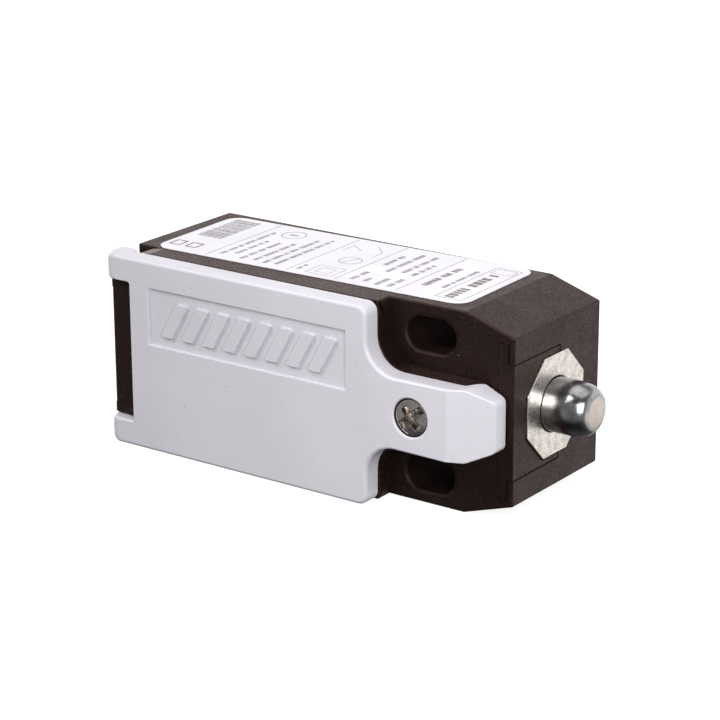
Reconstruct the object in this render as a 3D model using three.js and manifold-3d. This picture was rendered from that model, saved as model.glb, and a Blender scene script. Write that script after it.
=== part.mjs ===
// Limit switch with a metal plunger: a compact 30 mm wide position switch.
//
// Frame, in millimetres: the origin is on the mounting face, midway between the two fixing slots.
// +X runs out along the plunger, the mounting face looks along +Y and the cover along -Y, and Z
// runs across the width. The switch lies on its -Z side.
import * as THREE from "three";
import { mergeVertices } from "three/addons/utils/BufferGeometryUtils.js";
import Module from "manifold-3d";

const wasm = await Module();
wasm.setup();

// ---------------------------------------------------------------- driving dimensions

const HALF_WIDTH = 15; // housing and cover, across Z
const HEAD_END = 13.9; // end face that the plunger leaves
const CABLE_END = -54.4; // end face with the cable entry
const RIM_Y = -25.7; // front rim of the housing
const RECESS_Y = -22.9; // floor of the recess in front of the fixing slots
const CHAMFER_X = 5.7; // the side chamfers run from here to the end face
const CHAMFER_Z = 12.4; // half width left at the end face

const SLOT = { z: 10.5, length: 8.5, width: 5.3 }; // fixing slots, spaced 21 mm
const SLOT_ROOM = { wall: 4.1, margin: 1 }; // each slot is wider inside, behind its front wall
const ENTRY = { y: -13, r: 9.3, mouth: 10.2, bevel: 1 }; // cable entry, for an M20 gland

const SHOULDER_X = -7; // the cover plate ends here and its tongue starts
const SHOULDER_R = 4.7; // hollow corner between plate and tongue
const TONGUE_Z = 5.4; // half width of the tongue
const TONGUE = { crease: 6.7, taper: 9, tip: 12.8, tipZ: 3.7, tipY: -25.8 };
const LAND = { top: 7.6, foot: 9.2 }; // sloping end of the land under the tongue
const COVER = { front: -29.05, back: -26, left: -55.7, notchX: -50.7, notchZ: 11 };
const SKIRT = { gap: 0.4, wall: 1.2, end: -23.6 }; // locating frame behind the cover
const EAR = { right: -52.1, back: -24.3, round: 1.35 }; // the lugs' ears, beside the hinge bar
const PANEL = { x0: -47.1, x1: -10.5, z0: 1.9, z1: 10.9, depth: 0.4 };
const HINGE = { x: -53.4, y: -25.6, pin: 1.1, hole: 1.3, depth: 1.2 }; // cover pivot, along Z
const HINGE_NOTCH = { floor: -22.2, wall: -51.7, ramp: -49.2, drop: 0.25 }; // for the lugs
const HINGE_BAR = { left: -55.7, right: -51.2, front: -27.4, back: -22, z: 10.8 };

const CAVITY = { x0: -49.9, x1: -9, z: 12.7, back: -2.4 };
const LEDGE = { margin: 0.8, y: -24.2 }; // seat of the gasket round the cavity's mouth

const AXIS_Y = -12; // plunger axis, at Z = 0
const PLUNGER = { r: 4, tip: 20.8, tipR: 2.2, dome: 17.4, shoulder: 2, stemR: 2, stemEnd: -9.25 };
const CHANNEL = { r: 5.9, x0: -7.2, x1: 9.4 }; // bore for the return spring
const BUSH = { outer: 5.4, inner: 4.1, end: 4.2, flats: 15, x0: 13, x1: 14.1, gap: 0.2 };
const SEAL = { seatR: 4.75, x0: 4.6, x1: 6.6, outer: 4.65 }; // lip ring in the bush's inner end
const CLIP = { x0: 2.85, x1: 3.85, inner: 3.45, outer: 5, mouth: 2.8, groove: 3.3 };
const HEAD_PLATE = { x: 11.2, z: 8.46, back: -10.9, earX: 13.1, earZ: 11.35, earBack: -12.3 };
const SEAM = 0.12; // visible joint between moulded pieces
const LABEL = { x: -24.1, y: -11.35, length: 55.6, width: 20.4, skew: 1.5, thickness: 0.15 };

const COVER_SCREW = { x: 0.6, headR: 2.55, headY: -28.75, seatY: -26.85, r: 1.2, end: -20.6 };
const SCREW_HOLE = { head: 2.85, shank: 1.65 }; // radii of the hole for it in the cover
const DRIVE = { slot: 4.6, cross: 3.5, width: 1.15, depth: 0.95, turn: 40 }; // its recess
const INSERT = { inner: 1.45, outer: 2.45, front: -25.4, back: -19.4 };
const STROKE = 5; // full travel of the plunger
const SNAP = 2; // travel of the contact carrier

// Contact block
const BASE = { x0: -39.6, x1: -9.6, z: 12.2, front: -5, back: -2.8, posts: -14.4 };
const CHAMBER = { x0: -33, x1: -18, wallZ: 11.3, front: -15.4 }; // between the terminal posts
const FOOT = { x0: -46.4, front: -7.4, back: -5.8, notchX: -41.2, notchZ: 5.5 }; // screwed down
const TERMINAL = { nc: -14, no: -36.3, z: 8.1, front: -15.6, thickness: 1, holeR: 1.75 };
const BRIDGE = { nc: -20.2, no: -28.2, thickness: 0.6, half: 9.2, y0: -14, y1: -10, tipZ: 7.4 };
const TIP = { r: 1.3, height: 0.5, closed: 0.1 }; // silver contact tips
const SLIDER = { head: -9.4, neck: -12, tail: -27, z: 3.1, y0: -15.1, y1: -5.4, runner: -8.8 };
const CARRIER = { x0: -30.5, x1: SLIDER.neck - STROKE - 1.5, z: 3.1, y0: -15.1, y1: -9.2 };
const SHIELD = { x0: -31.3, x1: -19.9, front: -16.8, back: -15.7, ribZ: 10.1, ribEnd: -14.9 };
const CLAMP = { x: 2.9, z: 3.1, thickness: 0.9, lip: 1.2, lift: 1.4 };
const BLOCK_SCREW = { x: -43.6, z: 9, boss: -5.5, bossR: 2.4, pilotR: 1.35 };

// ---------------------------------------------------------------- materials

const plastic = (color, roughness) =>
  new THREE.MeshStandardMaterial({ color, roughness, metalness: 0 });
const metal = (color, roughness) =>
  new THREE.MeshStandardMaterial({ color, roughness, metalness: 1 });

const MATERIALS = {
  housing: plastic(0x2a2423, 0.62),
  cover: plastic(0xcfcdd4, 0.5),
  label: plastic(0xf1f0f4, 0.35),
  rubber: plastic(0x1b1b1c, 0.85),
  slider: plastic(0xb5281f, 0.45),
  base: plastic(0x3a3d42, 0.55),
  carrier: plastic(0xe8e2d2, 0.45),
  shield: plastic(0xd8d2bc, 0.4),
  steel: metal(0xb8bcc2, 0.25),
  zinc: metal(0xc4c1b8, 0.4),
  spring: metal(0x9fa3a8, 0.3),
  brass: metal(0xc8a24a, 0.35),
  nickel: metal(0xbdb6a8, 0.3),
};

// ---------------------------------------------------------------- solids

// A closed geometry as a manifold solid, turned outside out if its faces point inwards.
function solid(geometry) {
  const bare = geometry.index ? geometry.toNonIndexed() : geometry.clone();
  bare.deleteAttribute("normal");
  bare.deleteAttribute("uv");
  const merged = mergeVertices(bare, 1e-4);
  const triVerts = new Uint32Array(merged.index.array);
  const make = () =>
    new wasm.Manifold(
      new wasm.Mesh({ numProp: 3, vertProperties: merged.attributes.position.array, triVerts }),
    );
  const made = make();
  if (made.volume() > 0) return made;
  for (let i = 0; i < triVerts.length; i += 3) {
    [triVerts[i + 1], triVerts[i + 2]] = [triVerts[i + 2], triVerts[i + 1]];
  }
  return make();
}

// Two numbers in rising order.
const between = (a, b) => [Math.min(a, b), Math.max(a, b)];

const join = (...pieces) => pieces.reduce((a, b) => a.add(b));
const cut = (piece, ...tools) => tools.reduce((a, b) => a.subtract(b), piece);

// A block between two corners.
function block(x0, x1, y0, y1, z0, z1) {
  const box = new THREE.BoxGeometry(x1 - x0, y1 - y0, z1 - z0);
  return solid(box.translate((x0 + x1) / 2, (y0 + y1) / 2, (z0 + z1) / 2));
}

const extruded = (shape, depth, curveSegments) =>
  new THREE.ExtrudeGeometry(shape, { depth, curveSegments, bevelEnabled: false });

// A shape drawn in X and Y, standing along Z.
const alongZ = (shape, z0, z1, segments = 3) =>
  solid(extruded(shape, z1 - z0, segments).translate(0, 0, z0));

// A shape drawn in X and Z, standing along Y.
const alongY = (shape, y0, y1, segments = 3) =>
  solid(extruded(shape, y1 - y0, segments).rotateX(Math.PI / 2).translate(0, y1, 0));

// A shape drawn in Y and Z, standing along X.
function alongX(shape, x0, x1, segments = 3) {
  const axes = new THREE.Matrix4().makeBasis(
    new THREE.Vector3(0, 1, 0),
    new THREE.Vector3(0, 0, 1),
    new THREE.Vector3(1, 0, 0),
  );
  return solid(extruded(shape, x1 - x0, segments).applyMatrix4(axes).translate(x0, 0, 0));
}

// A turned piece on the plunger axis, from [radius, x] points that start and end on the axis
// or close on themselves.
function turnedX(profile, segments = 32, y = AXIS_Y, z = 0) {
  const points = profile.map(([r, x]) => new THREE.Vector2(r, x));
  const lathe = new THREE.LatheGeometry(points, segments).rotateZ(-Math.PI / 2);
  return solid(lathe.translate(0, y, z));
}

// A turned piece parallel to Y, from [radius, y] points.
function turnedY(profile, x, z, segments = 16) {
  const points = profile.map(([r, y]) => new THREE.Vector2(r, y));
  return solid(new THREE.LatheGeometry(points, segments).translate(x, 0, z));
}

const rod = (r, a, b) => [[0, a], [r, a], [r, b], [0, b]];
const ring = (r0, r1, a, b) => [[r0, a], [r1, a], [r1, b], [r0, b], [r0, a]];

// A closed outline through the given points; a point's third number rounds that corner.
function outline(points) {
  const shape = new THREE.Shape();
  const at = (i) => new THREE.Vector2(...points.at(i % points.length));
  points.forEach(([, , radius = 0], i) => {
    const corner = at(i);
    const before = at(i + points.length - 1).sub(corner).normalize();
    const after = at(i + 1).sub(corner).normalize();
    const reach = radius / Math.tan(before.angleTo(after) / 2);
    const start = corner.clone().addScaledVector(before, reach);
    if (i === 0) shape.moveTo(start.x, start.y);
    else shape.lineTo(start.x, start.y);
    if (radius > 0) roundCorner(shape, corner, before, after, radius);
  });
  shape.closePath();
  return shape;
}

// Adds the arc that rounds a corner, given the unit directions to its two neighbours.
function roundCorner(shape, corner, before, after, radius) {
  const half = before.angleTo(after) / 2;
  const middle = before.clone().add(after).normalize();
  const centre = corner.clone().addScaledVector(middle, radius / Math.sin(half));
  const reach = radius / Math.tan(half);
  const from = corner.clone().addScaledVector(before, reach).sub(centre);
  const to = corner.clone().addScaledVector(after, reach).sub(centre);
  const clockwise = before.cross(after) > 0;
  shape.absarc(centre.x, centre.y, radius, from.angle(), to.angle(), clockwise);
}

const rectangle = (x0, x1, y0, y1, r = 0) =>
  outline([[x0, y0, r], [x1, y0, r], [x1, y1, r], [x0, y1, r]]);

function circle(x, y, r) {
  const shape = new THREE.Shape();
  shape.absarc(x, y, r, 0, 2 * Math.PI, false);
  return shape;
}

// A helix about an axis parallel to X, with flat-wound ends.
class Helix extends THREE.Curve {
  constructor(r, turns, x0, x1, y, z) {
    super();
    Object.assign(this, { r, turns, x0, x1, y, z });
  }

  getPoint(t, target = new THREE.Vector3()) {
    const angle = 2 * Math.PI * this.turns * t;
    const rise = THREE.MathUtils.smoothstep(t, 0, 1) * 0.35 + t * 0.65;
    const x = THREE.MathUtils.lerp(this.x0, this.x1, rise);
    return target.set(x, this.y + this.r * Math.cos(angle), this.z + this.r * Math.sin(angle));
  }
}

// A coil spring of five-sided wire lying between x0 and x1.
function coil(r, wire, turns, x0, x1, y, z) {
  const section = new THREE.Shape();
  for (let i = 0; i < 5; i += 1) {
    const angle = (i * Math.PI) / 2.5;
    const corner = [(wire / 2) * Math.cos(angle), (wire / 2) * Math.sin(angle)];
    if (i === 0) section.moveTo(...corner);
    else section.lineTo(...corner);
  }
  section.closePath();
  const path = new Helix(r, turns, x0 + wire / 2, x1 - wire / 2, y, z);
  const steps = Math.round(turns * 9);
  return solid(
    new THREE.ExtrudeGeometry(section, { steps, extrudePath: path, bevelEnabled: false }),
  );
}

// ---------------------------------------------------------------- outlines

// Right-hand end of the cover seen from the front, from the lower shoulder to the upper one,
// drawn in by the given margin.
function tonguePoints(margin) {
  const side = TONGUE_Z - margin;
  const shoulder = SHOULDER_X - margin;
  const hollow = SHOULDER_R + margin;
  const tip = TONGUE.tip - margin;
  const tipSide = TONGUE.tipZ - margin;
  return [
    [shoulder, -HALF_WIDTH + margin, 0.8],
    [shoulder, -side, hollow],
    [TONGUE.taper, -side, 1],
    [tip, -tipSide, 0.4],
    [tip, tipSide, 0.4],
    [TONGUE.taper, side, 1],
    [shoulder, side, hollow],
    [shoulder, HALF_WIDTH - margin, 0.8],
  ];
}

// A regular octagon with its flats on the sides, in Y and Z round the plunger axis.
function octagon(flats) {
  const shape = new THREE.Shape();
  const r = flats / 2 / Math.cos(Math.PI / 8);
  for (let i = 0; i < 8; i += 1) {
    const angle = ((i + 0.5) * Math.PI) / 4;
    const corner = [AXIS_Y + r * Math.cos(angle), r * Math.sin(angle)];
    if (i === 0) shape.moveTo(...corner);
    else shape.lineTo(...corner);
  }
  shape.closePath();
  return shape;
}

// ---------------------------------------------------------------- housing

function housing() {
  const sides = outline([
    [CABLE_END, -HALF_WIDTH],
    [CHAMFER_X, -HALF_WIDTH],
    [HEAD_END, -CHAMFER_Z],
    [HEAD_END, CHAMFER_Z],
    [CHAMFER_X, HALF_WIDTH],
    [CABLE_END, HALF_WIDTH],
  ]);
  const shell = join(alongY(sides, RIM_Y, 0), hingeBar());
  return join(
    cut(shell, headRecess(), hingeNotch(1), hingeNotch(-1), ...cavities(), ...slots()),
    ...bosses(),
  ).subtract(bossHoles());
}

// What is missing in front of the fixing slots: all but a land that carries the tongue.
function headRecess() {
  const pocket = block(SHOULDER_X - 0.1, HEAD_END + 1, RIM_Y - 1, RECESS_Y, -16, 16);
  const land = alongY(
    outline([[-30, -16], ...tonguePoints(0.1), [-30, 16]]),
    RIM_Y - 2,
    RECESS_Y + 1,
    4,
  );
  const ramp = outline([
    [LAND.top, RIM_Y - 3],
    [LAND.top, RIM_Y],
    [LAND.foot, RECESS_Y],
    [LAND.foot, RECESS_Y + 2],
    [20, RECESS_Y + 2],
    [20, RIM_Y - 3],
  ]);
  return cut(pocket, cut(land, alongZ(ramp, -16, 16)));
}

// The bar between the cover's lugs, rounded along its outer edge.
function hingeBar() {
  const { left, right, front, back, z } = HINGE_BAR;
  const section = outline([
    [left, front, 1.5],
    [right - 0.5, front],
    [right, front + 0.5],
    [right, back],
    [CABLE_END, back],
    [left, back - 1.3],
  ]);
  return alongZ(section, -z, z, 4);
}

// Room for a lug of the cover to turn in, with the shallow ramp beside it and the pivot hole.
function hingeNotch(side) {
  const { floor, wall, ramp, drop } = HINGE_NOTCH;
  const outside = side * (HALF_WIDTH + 1);
  const room = alongZ(
    rectangle(CABLE_END - 2, wall, RIM_Y - 3, floor),
    ...between(side * HINGE_BAR.z, outside),
  );
  const rampSection = outline([
    [wall - 0.1, outside],
    [wall - 0.1, side * (HALF_WIDTH - drop)],
    [wall, side * (HALF_WIDTH - drop)],
    [ramp, side * HALF_WIDTH],
    [ramp, outside],
  ]);
  const pivot = circle(HINGE.x, HINGE.y, HINGE.hole);
  const holeEnd = side * (HINGE_BAR.z - HINGE.depth);
  return join(
    room,
    alongY(rampSection, RIM_Y - 1, floor),
    alongZ(pivot, ...between(holeEnd, outside), 8),
  );
}

// Everything hollow inside the housing.
function cavities() {
  const { x0, x1, z, back } = CAVITY;
  const { margin, y } = LEDGE;
  const plate = HEAD_PLATE;
  return [
    alongY(rectangle(x0, x1, -z, z, 1), RIM_Y - 1, back),
    alongY(rectangle(x0 - margin, x1 + margin, -z - margin, z + margin, 1.5), RIM_Y - 1, y),
    turnedX(rod(CHANNEL.r, CHANNEL.x0, CHANNEL.x1)),
    turnedX(rod(BUSH.outer + BUSH.gap, CHANNEL.x1 - 1, HEAD_END + 1)),
    turnedX(rod(PLUNGER.stemR + 0.5, x1 - 1, CHANNEL.x0 + 1), 24),
    turnedX(cableEntry(), 36, ENTRY.y),
    bushRecess(),
    block(plate.x - SEAM, HEAD_END + 1, RECESS_Y - 1, plate.back + SEAM,
      -plate.z - SEAM, plate.z + SEAM),
    block(plate.x - SEAM, plate.earX + SEAM, RECESS_Y - 1, plate.earBack + SEAM,
      -plate.earZ - SEAM, plate.earZ + SEAM),
    turnedY(rod(INSERT.outer + 0.15, RIM_Y - 1, INSERT.back + 0.2), COVER_SCREW.x, 0, 24),
  ];
}

// The seat of the octagonal plate, a little larger all round.
const bushRecess = () => alongX(octagon(BUSH.flats + 0.7), BUSH.x0 - 0.15, HEAD_END + 1);

// Profile of the cable entry: a bore with a bevelled mouth.
function cableEntry() {
  const { r, mouth, bevel } = ENTRY;
  const outside = CABLE_END - 3;
  const inside = CAVITY.x0 + 1;
  return [
    [0, outside],
    [mouth, outside],
    [mouth, CABLE_END],
    [r, CABLE_END + bevel],
    [r, inside],
    [0, inside],
  ];
}

// The fixing slots: straight through, with a wider room behind the front wall.
function slots() {
  const half = SLOT.length / 2;
  const { wall, margin } = SLOT_ROOM;
  return [-1, 1].flatMap((side) => {
    const z = side * SLOT.z;
    const w = SLOT.width / 2;
    const shape = (m) => rectangle(-half - m, half + m, z - w - m, z + w + m, w + m - 0.001);
    return [
      alongY(shape(0), RIM_Y - 1, 1, 4),
      alongY(shape(margin), RECESS_Y + wall, -wall, 4),
    ];
  });
}

function bosses() {
  const { x, z, boss, bossR } = BLOCK_SCREW;
  return [-1, 1].map((side) => turnedY(rod(bossR, boss, CAVITY.back + 0.2), x, side * z));
}

function bossHoles() {
  const { x, z, boss, pilotR } = BLOCK_SCREW;
  const pilot = (side) => turnedY(rod(pilotR, boss - 1, CAVITY.back / 2), x, side * z);
  return join(pilot(-1), pilot(1));
}

// ---------------------------------------------------------------- cover

function frontCover() {
  const { front, back, left, notchX, notchZ } = COVER;
  const face = outline([[left, -HALF_WIDTH, 0.8], ...tonguePoints(0), [left, HALF_WIDTH, 0.8]]);
  const notch = alongY(
    rectangle(left - 3, notchX, -notchZ, notchZ, 0.5),
    front - 1,
    back + 3,
  );
  const plate = cut(alongY(face, front, back, 4), rolledEdge(), tipSlope(), notch);
  const screw = COVER_SCREW;
  return cut(
    join(plate, coverTip(), skirt(), hingeLug(1), hingeLug(-1)),
    turnedY(rod(SCREW_HOLE.head, front - 1, screw.seatY + 0.1), screw.x, 0, 32),
    turnedY(rod(SCREW_HOLE.shank, front - 1, back + 4), screw.x, 0, 24),
    block(PANEL.x0, PANEL.x1, front - 1, front + PANEL.depth, PANEL.z0, PANEL.z1),
  );
}

// What the rolled outer edge of the lugs leaves off the front corner.
function rolledEdge() {
  const r = 3;
  const { front, left } = COVER;
  const corner = rectangle(left - 1, left + r, front - 1, front + r);
  const roll = circle(left + r, front + r, r);
  return cut(alongZ(corner, -16, 16), alongZ(roll, -17, 17, 14));
}

// What the slope of the tongue's tip leaves off the front.
function tipSlope() {
  const slope = outline([
    [TONGUE.crease, COVER.front],
    [TONGUE.tip + 0.01, TONGUE.tipY],
    [TONGUE.tip + 3, TONGUE.tipY],
    [TONGUE.tip + 3, COVER.front - 2],
    [TONGUE.crease, COVER.front - 2],
  ]);
  return alongZ(slope, -16, 16);
}

// The thick tip of the tongue, which reaches down to the floor of the recess.
function coverTip() {
  const gap = 0.35;
  const depth = outline([
    [LAND.top + gap, COVER.back - 0.5],
    [LAND.top + gap, COVER.back],
    [LAND.foot + gap, RECESS_Y - gap],
    [TONGUE.tip, RECESS_Y - gap],
    [TONGUE.tip, COVER.back + 0.1],
    [TONGUE.tip - 1, COVER.back - 0.5],
  ]);
  const width = alongY(outline([[-30, -16], ...tonguePoints(0), [-30, 16]]), -30, -20, 4);
  return alongZ(depth, -TONGUE_Z, TONGUE_Z).intersect(width);
}

// The locating frame on the cover's inner face.
function skirt() {
  const { gap, wall, end } = SKIRT;
  const [x0, x1, z] = [CAVITY.x0 + gap, CAVITY.x1 - gap, CAVITY.z - gap];
  const root = COVER.back - 0.1;
  return cut(
    alongY(rectangle(x0, x1, -z, z, 1), root, end),
    alongY(rectangle(x0 + wall, x1 - wall, -z + wall, z - wall, 0.5), root - 1, end + 1),
  );
}

// A lug's ear, which reaches back beside the hinge bar, with its pivot pin.
function hingeLug(side) {
  const { left, notchZ, back } = COVER;
  const ear = outline([
    [left, back - 0.2],
    [EAR.right, back - 0.2],
    [EAR.right, EAR.back, EAR.round],
    [left, EAR.back, EAR.round],
  ]);
  const pin = circle(HINGE.x, HINGE.y, HINGE.pin);
  const pinEnd = side * (HINGE_BAR.z - HINGE.depth + 0.3);
  return join(
    alongZ(ear, ...between(side * notchZ, side * HALF_WIDTH)),
    alongZ(pin, ...between(pinEnd, side * (notchZ + 1)), 8),
  );
}

function coverGasket() {
  const outer = LEDGE.margin - 0.2;
  const inner = -0.05;
  const frame = (m, r) =>
    rectangle(CAVITY.x0 - m, CAVITY.x1 + m, -CAVITY.z - m, CAVITY.z + m, r);
  return cut(
    alongY(frame(outer, 1.3), RIM_Y + 0.1, LEDGE.y - 0.1),
    alongY(frame(inner, 0.9), RIM_Y - 1, LEDGE.y + 1),
  );
}

// ---------------------------------------------------------------- head

function headPlate() {
  const plate = HEAD_PLATE;
  const body = join(
    block(plate.x, HEAD_END, RECESS_Y, plate.back, -plate.z, plate.z),
    block(plate.x, plate.earX, RECESS_Y, plate.earBack, -plate.earZ, plate.earZ),
  );
  return cut(body, turnedX(rod(BUSH.outer + BUSH.gap, plate.x - 1, HEAD_END + 1)), bushRecess());
}

// The octagonal plate, with clipped corners, and the sleeve behind it.
function guideBush() {
  const { outer, inner, end, flats, x0, x1 } = BUSH;
  const corners = turnedX(rod(flats / 2 / Math.cos(Math.PI / 8) - 0.25, x0 - 1, x1 + 1), 48);
  const plate = alongX(octagon(flats), x0, x1).intersect(corners);
  const sleeve = turnedX(rod(outer, end, x0 + 0.5));
  const bevel = 0.3;
  const bore = turnedX(
    [
      [0, end - 1],
      [SEAL.seatR, end - 1],
      [SEAL.seatR, SEAL.x1 + 0.2],
      [inner, SEAL.x1 + 0.2],
      [inner, x1 - bevel],
      [inner + bevel, x1],
      [inner + bevel, x1 + 1],
      [0, x1 + 1],
    ],
    40,
  );
  return cut(join(plate, sleeve), bore);
}

// The pin: a flat-tipped dome, a groove for the clip, and a thin stem behind the shoulder.
function plunger() {
  const { r, tip, tipR, dome, shoulder, stemR, stemEnd } = PLUNGER;
  const arc = [];
  const steps = 7;
  for (let i = 1; i < steps; i += 1) {
    const t = ((i / steps) * Math.PI) / 2;
    arc.push([tipR + (r - tipR) * Math.cos(t) ** 0.8, dome + (tip - dome) * Math.sin(t) ** 1.1]);
  }
  return turnedX(
    [
      [0, stemEnd],
      [stemR - 0.4, stemEnd],
      [stemR, stemEnd + 0.4],
      [stemR, shoulder],
      [r - 0.4, shoulder],
      [r - 0.4, CLIP.x0 - 0.35],
      [CLIP.groove, CLIP.x0 - 0.35],
      [CLIP.groove, CLIP.x1 + 0.25],
      [r, CLIP.x1 + 0.25],
      [r, dome],
      ...arc,
      [tipR, tip],
      [0, tip],
    ],
    36,
  );
}

// A retaining ring, open on one side.
function plungerClip() {
  const { x0, x1, inner, outer, mouth } = CLIP;
  const gap = block(x0 - 1, x1 + 1, AXIS_Y - 2 * outer, AXIS_Y - inner / 2, -mouth / 2, mouth / 2);
  return cut(turnedX(ring(inner, outer, x0, x1), 32), gap);
}

// A ring with one lip that touches the pin halfway along.
function plungerSeal() {
  const { x0, x1, outer } = SEAL;
  const middle = (x0 + x1) / 2;
  const lip = BUSH.inner;
  return turnedX(
    [
      [lip + 0.1, x0],
      [outer, x0],
      [outer, x1],
      [lip + 0.1, x1],
      [lip + 0.25, middle + 0.3],
      [lip, middle],
      [lip + 0.25, middle - 0.3],
      [lip + 0.1, x0],
    ],
    32,
  );
}

function screwInsert() {
  const { inner, outer, front, back } = INSERT;
  return turnedY(ring(inner, outer, front, back), COVER_SCREW.x, 0, 24);
}

// Pan head with a slot and a cross in it, and a plain shank in place of the thread.
function coverScrew() {
  const { x, headR, headY, seatY, r, end } = COVER_SCREW;
  const crown = [];
  for (let i = 0; i <= 5; i += 1) {
    const t = ((i / 5) * Math.PI) / 2;
    crown.push([headR - 0.7 + 0.7 * Math.cos(t), headY + 0.9 - 0.75 * Math.sin(t)]);
  }
  const head = turnedY([[0, seatY], [headR, seatY], ...crown, [0, headY]], x, 0, 32);
  const shank = turnedY([...rod(r, seatY - 0.3, end - 0.6).slice(0, 3), [r - 0.6, end], [0, end]],
    x, 0, 20);
  return cut(join(head, shank), screwRecess(x, headY));
}

// A slot with a shorter cross arm over it and a deeper middle, turned as on the real screw.
function screwRecess(x, headY) {
  const { slot, cross, width, depth, turn } = DRIVE;
  const arm = (length, across, deep) =>
    solid(new THREE.BoxGeometry(length, deep + 0.2, across).translate(0, deep / 2 - 0.1, 0));
  const middle = arm(width * 1.3, width * 1.3, depth * 1.4);
  return join(arm(slot, width, depth), arm(width, cross, depth), middle)
    .rotate([0, -turn, 0])
    .translate([x, headY, 0]);
}

// The sticker, laid on a little askew.
function ratingLabel() {
  const { x, y, length, width, skew, thickness } = LABEL;
  const sheet = rectangle(-length / 2, length / 2, -width / 2, width / 2, 2.5);
  const bottom = HALF_WIDTH + 0.03;
  return alongZ(sheet, bottom, bottom + thickness, 5).rotate([0, 0, skew]).translate([x, y, 0]);
}

// ---------------------------------------------------------------- contact block

function contactBase() {
  const { x0, x1, z, front, back, posts } = BASE;
  const inside = front + 0.1;
  const channel = SLIDER.z + 0.3;
  const post = (a, b, side) => block(a, b, posts, inside, ...between(side * channel, side * z));
  const wall = (side) =>
    block(CHAMBER.x0 - 0.1, CHAMBER.x1 + 0.1, CHAMBER.front, inside,
      ...between(side * CHAMBER.wallZ, side * z));
  const sides = [1, -1].flatMap((side) => [
    post(CHAMBER.x1, x1, side),
    post(x0, CHAMBER.x0, side),
    wall(side),
  ]);
  const plate = block(x0, x1, front, back, -z, z);
  const springStop = block(x0, x0 + 1, AXIS_Y - 0.5, inside, -channel - 0.1, channel + 0.1);
  const holes = terminalPlaces().map(({ x, side }) =>
    turnedY(rod(TERMINAL.holeR + 0.15, posts - 1, -7.5), x, side * TERMINAL.z),
  );
  return cut(join(plate, ...sides, springStop, baseFoot()), ...holes);
}

// The foot at the cable end, through which the block is screwed down.
function baseFoot() {
  const { x0, front, back, notchX, notchZ } = FOOT;
  const { z } = BASE;
  const plate = block(x0, BASE.x0 + 0.1, front, back, -z, z);
  const web = block(BASE.x0 - 1.2, BASE.x0 + 0.1, front, BASE.back, -z, z);
  const holes = [-1, 1].map((side) =>
    turnedY(rod(1.7, front - 1, back + 1), BLOCK_SCREW.x, side * BLOCK_SCREW.z),
  );
  const notch = block(x0 - 1, notchX, front - 1, back + 1, -notchZ, notchZ);
  return cut(join(plate, web), ...holes, notch);
}

// The four terminals: the contact each belongs to, its place along X, its side, the way its leg
// faces and where its tip meets the bridge.
function terminalPlaces() {
  const closed = BRIDGE.nc + TIP.height + TIP.closed;
  const open = BRIDGE.no - BRIDGE.thickness - TIP.height - SNAP - TIP.closed;
  return [
    { name: "nc_a", x: TERMINAL.nc, side: 1, inward: -1, face: closed },
    { name: "nc_b", x: TERMINAL.nc, side: -1, inward: -1, face: closed },
    { name: "no_a", x: TERMINAL.no, side: 1, inward: 1, face: open },
    { name: "no_b", x: TERMINAL.no, side: -1, inward: 1, face: open },
  ];
}

// A fixed contact: the land under the screw, the leg into the chamber and the silver tip.
function terminalStrip({ x, side, inward, face }) {
  const { front, thickness, holeR } = TERMINAL;
  const z = side * TERMINAL.z;
  const back = face - inward * TIP.height;
  const legOuter = back - inward * 0.8;
  const far = x - inward * 3.3;
  const flat = block(...between(far, back), front, front + thickness, z - 3, z + 3);
  const legSides = between(side * (TERMINAL.z - 2.6), side * (TERMINAL.z + 1.9));
  const leg = block(...between(back, legOuter), front, BRIDGE.y1 + 0.4, ...legSides);
  const tip = turnedX(
    rod(TIP.r, ...between(back - 0.1 * inward, face)),
    16,
    (BRIDGE.y0 + BRIDGE.y1) / 2,
    side * BRIDGE.tipZ,
  );
  return cut(join(flat, leg, tip), turnedY(rod(holeR, front - 1, front + 2), x, z));
}

// A clamp plate with two lips turned down.
function clampPlate({ x, side }) {
  const z = side * TERMINAL.z;
  const y = TERMINAL.front - CLAMP.lift;
  const [x0, x1] = [x - CLAMP.x, x + CLAMP.x];
  const plate = block(x0, x1, y, y + CLAMP.thickness, z - CLAMP.z, z + CLAMP.z);
  const lips = [-1, 1].map((s) =>
    block(x0, x1, y, y + CLAMP.lip, ...between(z + s * CLAMP.z, z + s * (CLAMP.z - 1))),
  );
  return cut(join(plate, ...lips), turnedY(rod(TERMINAL.holeR + 0.15, y - 1, y + 3), x, z));
}

// A cheese-head screw with a cross recess, standing along Y with its head at the front.
function smallScrew(x, z, headR, seatY, headHeight, r, end) {
  const top = seatY - headHeight;
  const body = turnedY(
    [[0, top], [headR - 0.3, top], [headR, top + 0.3], [headR, seatY], [r, seatY], [r, end - 0.5],
      [r - 0.5, end], [0, end]],
    x,
    z,
  );
  const arm = (w, d) =>
    solid(new THREE.BoxGeometry(w, 2, d)).translate([x, top, z]);
  return cut(body, arm(0.7, 3.2), arm(3.2, 0.7));
}

const terminalScrew = ({ x, side }) =>
  smallScrew(x, side * TERMINAL.z, 2.8, TERMINAL.front - CLAMP.lift - 0.1, 1.9, 1.55, -8.4);

const blockScrew = (side) =>
  smallScrew(BLOCK_SCREW.x, side * BLOCK_SCREW.z, 2.5, FOOT.front - 0.1, 1.5, 1.1, -1.8);

// A plate over the contact chamber, with a rib inside each wall.
function contactShield() {
  const { x0, x1, front, back, ribZ, ribEnd } = SHIELD;
  const rib = (side) =>
    block(x0, x1, back - 0.1, ribEnd, ...between(side * ribZ, side * (ribZ + 0.8)));
  return join(block(x0, x1, front, back, -BASE.z, BASE.z), rib(1), rib(-1));
}

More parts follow.
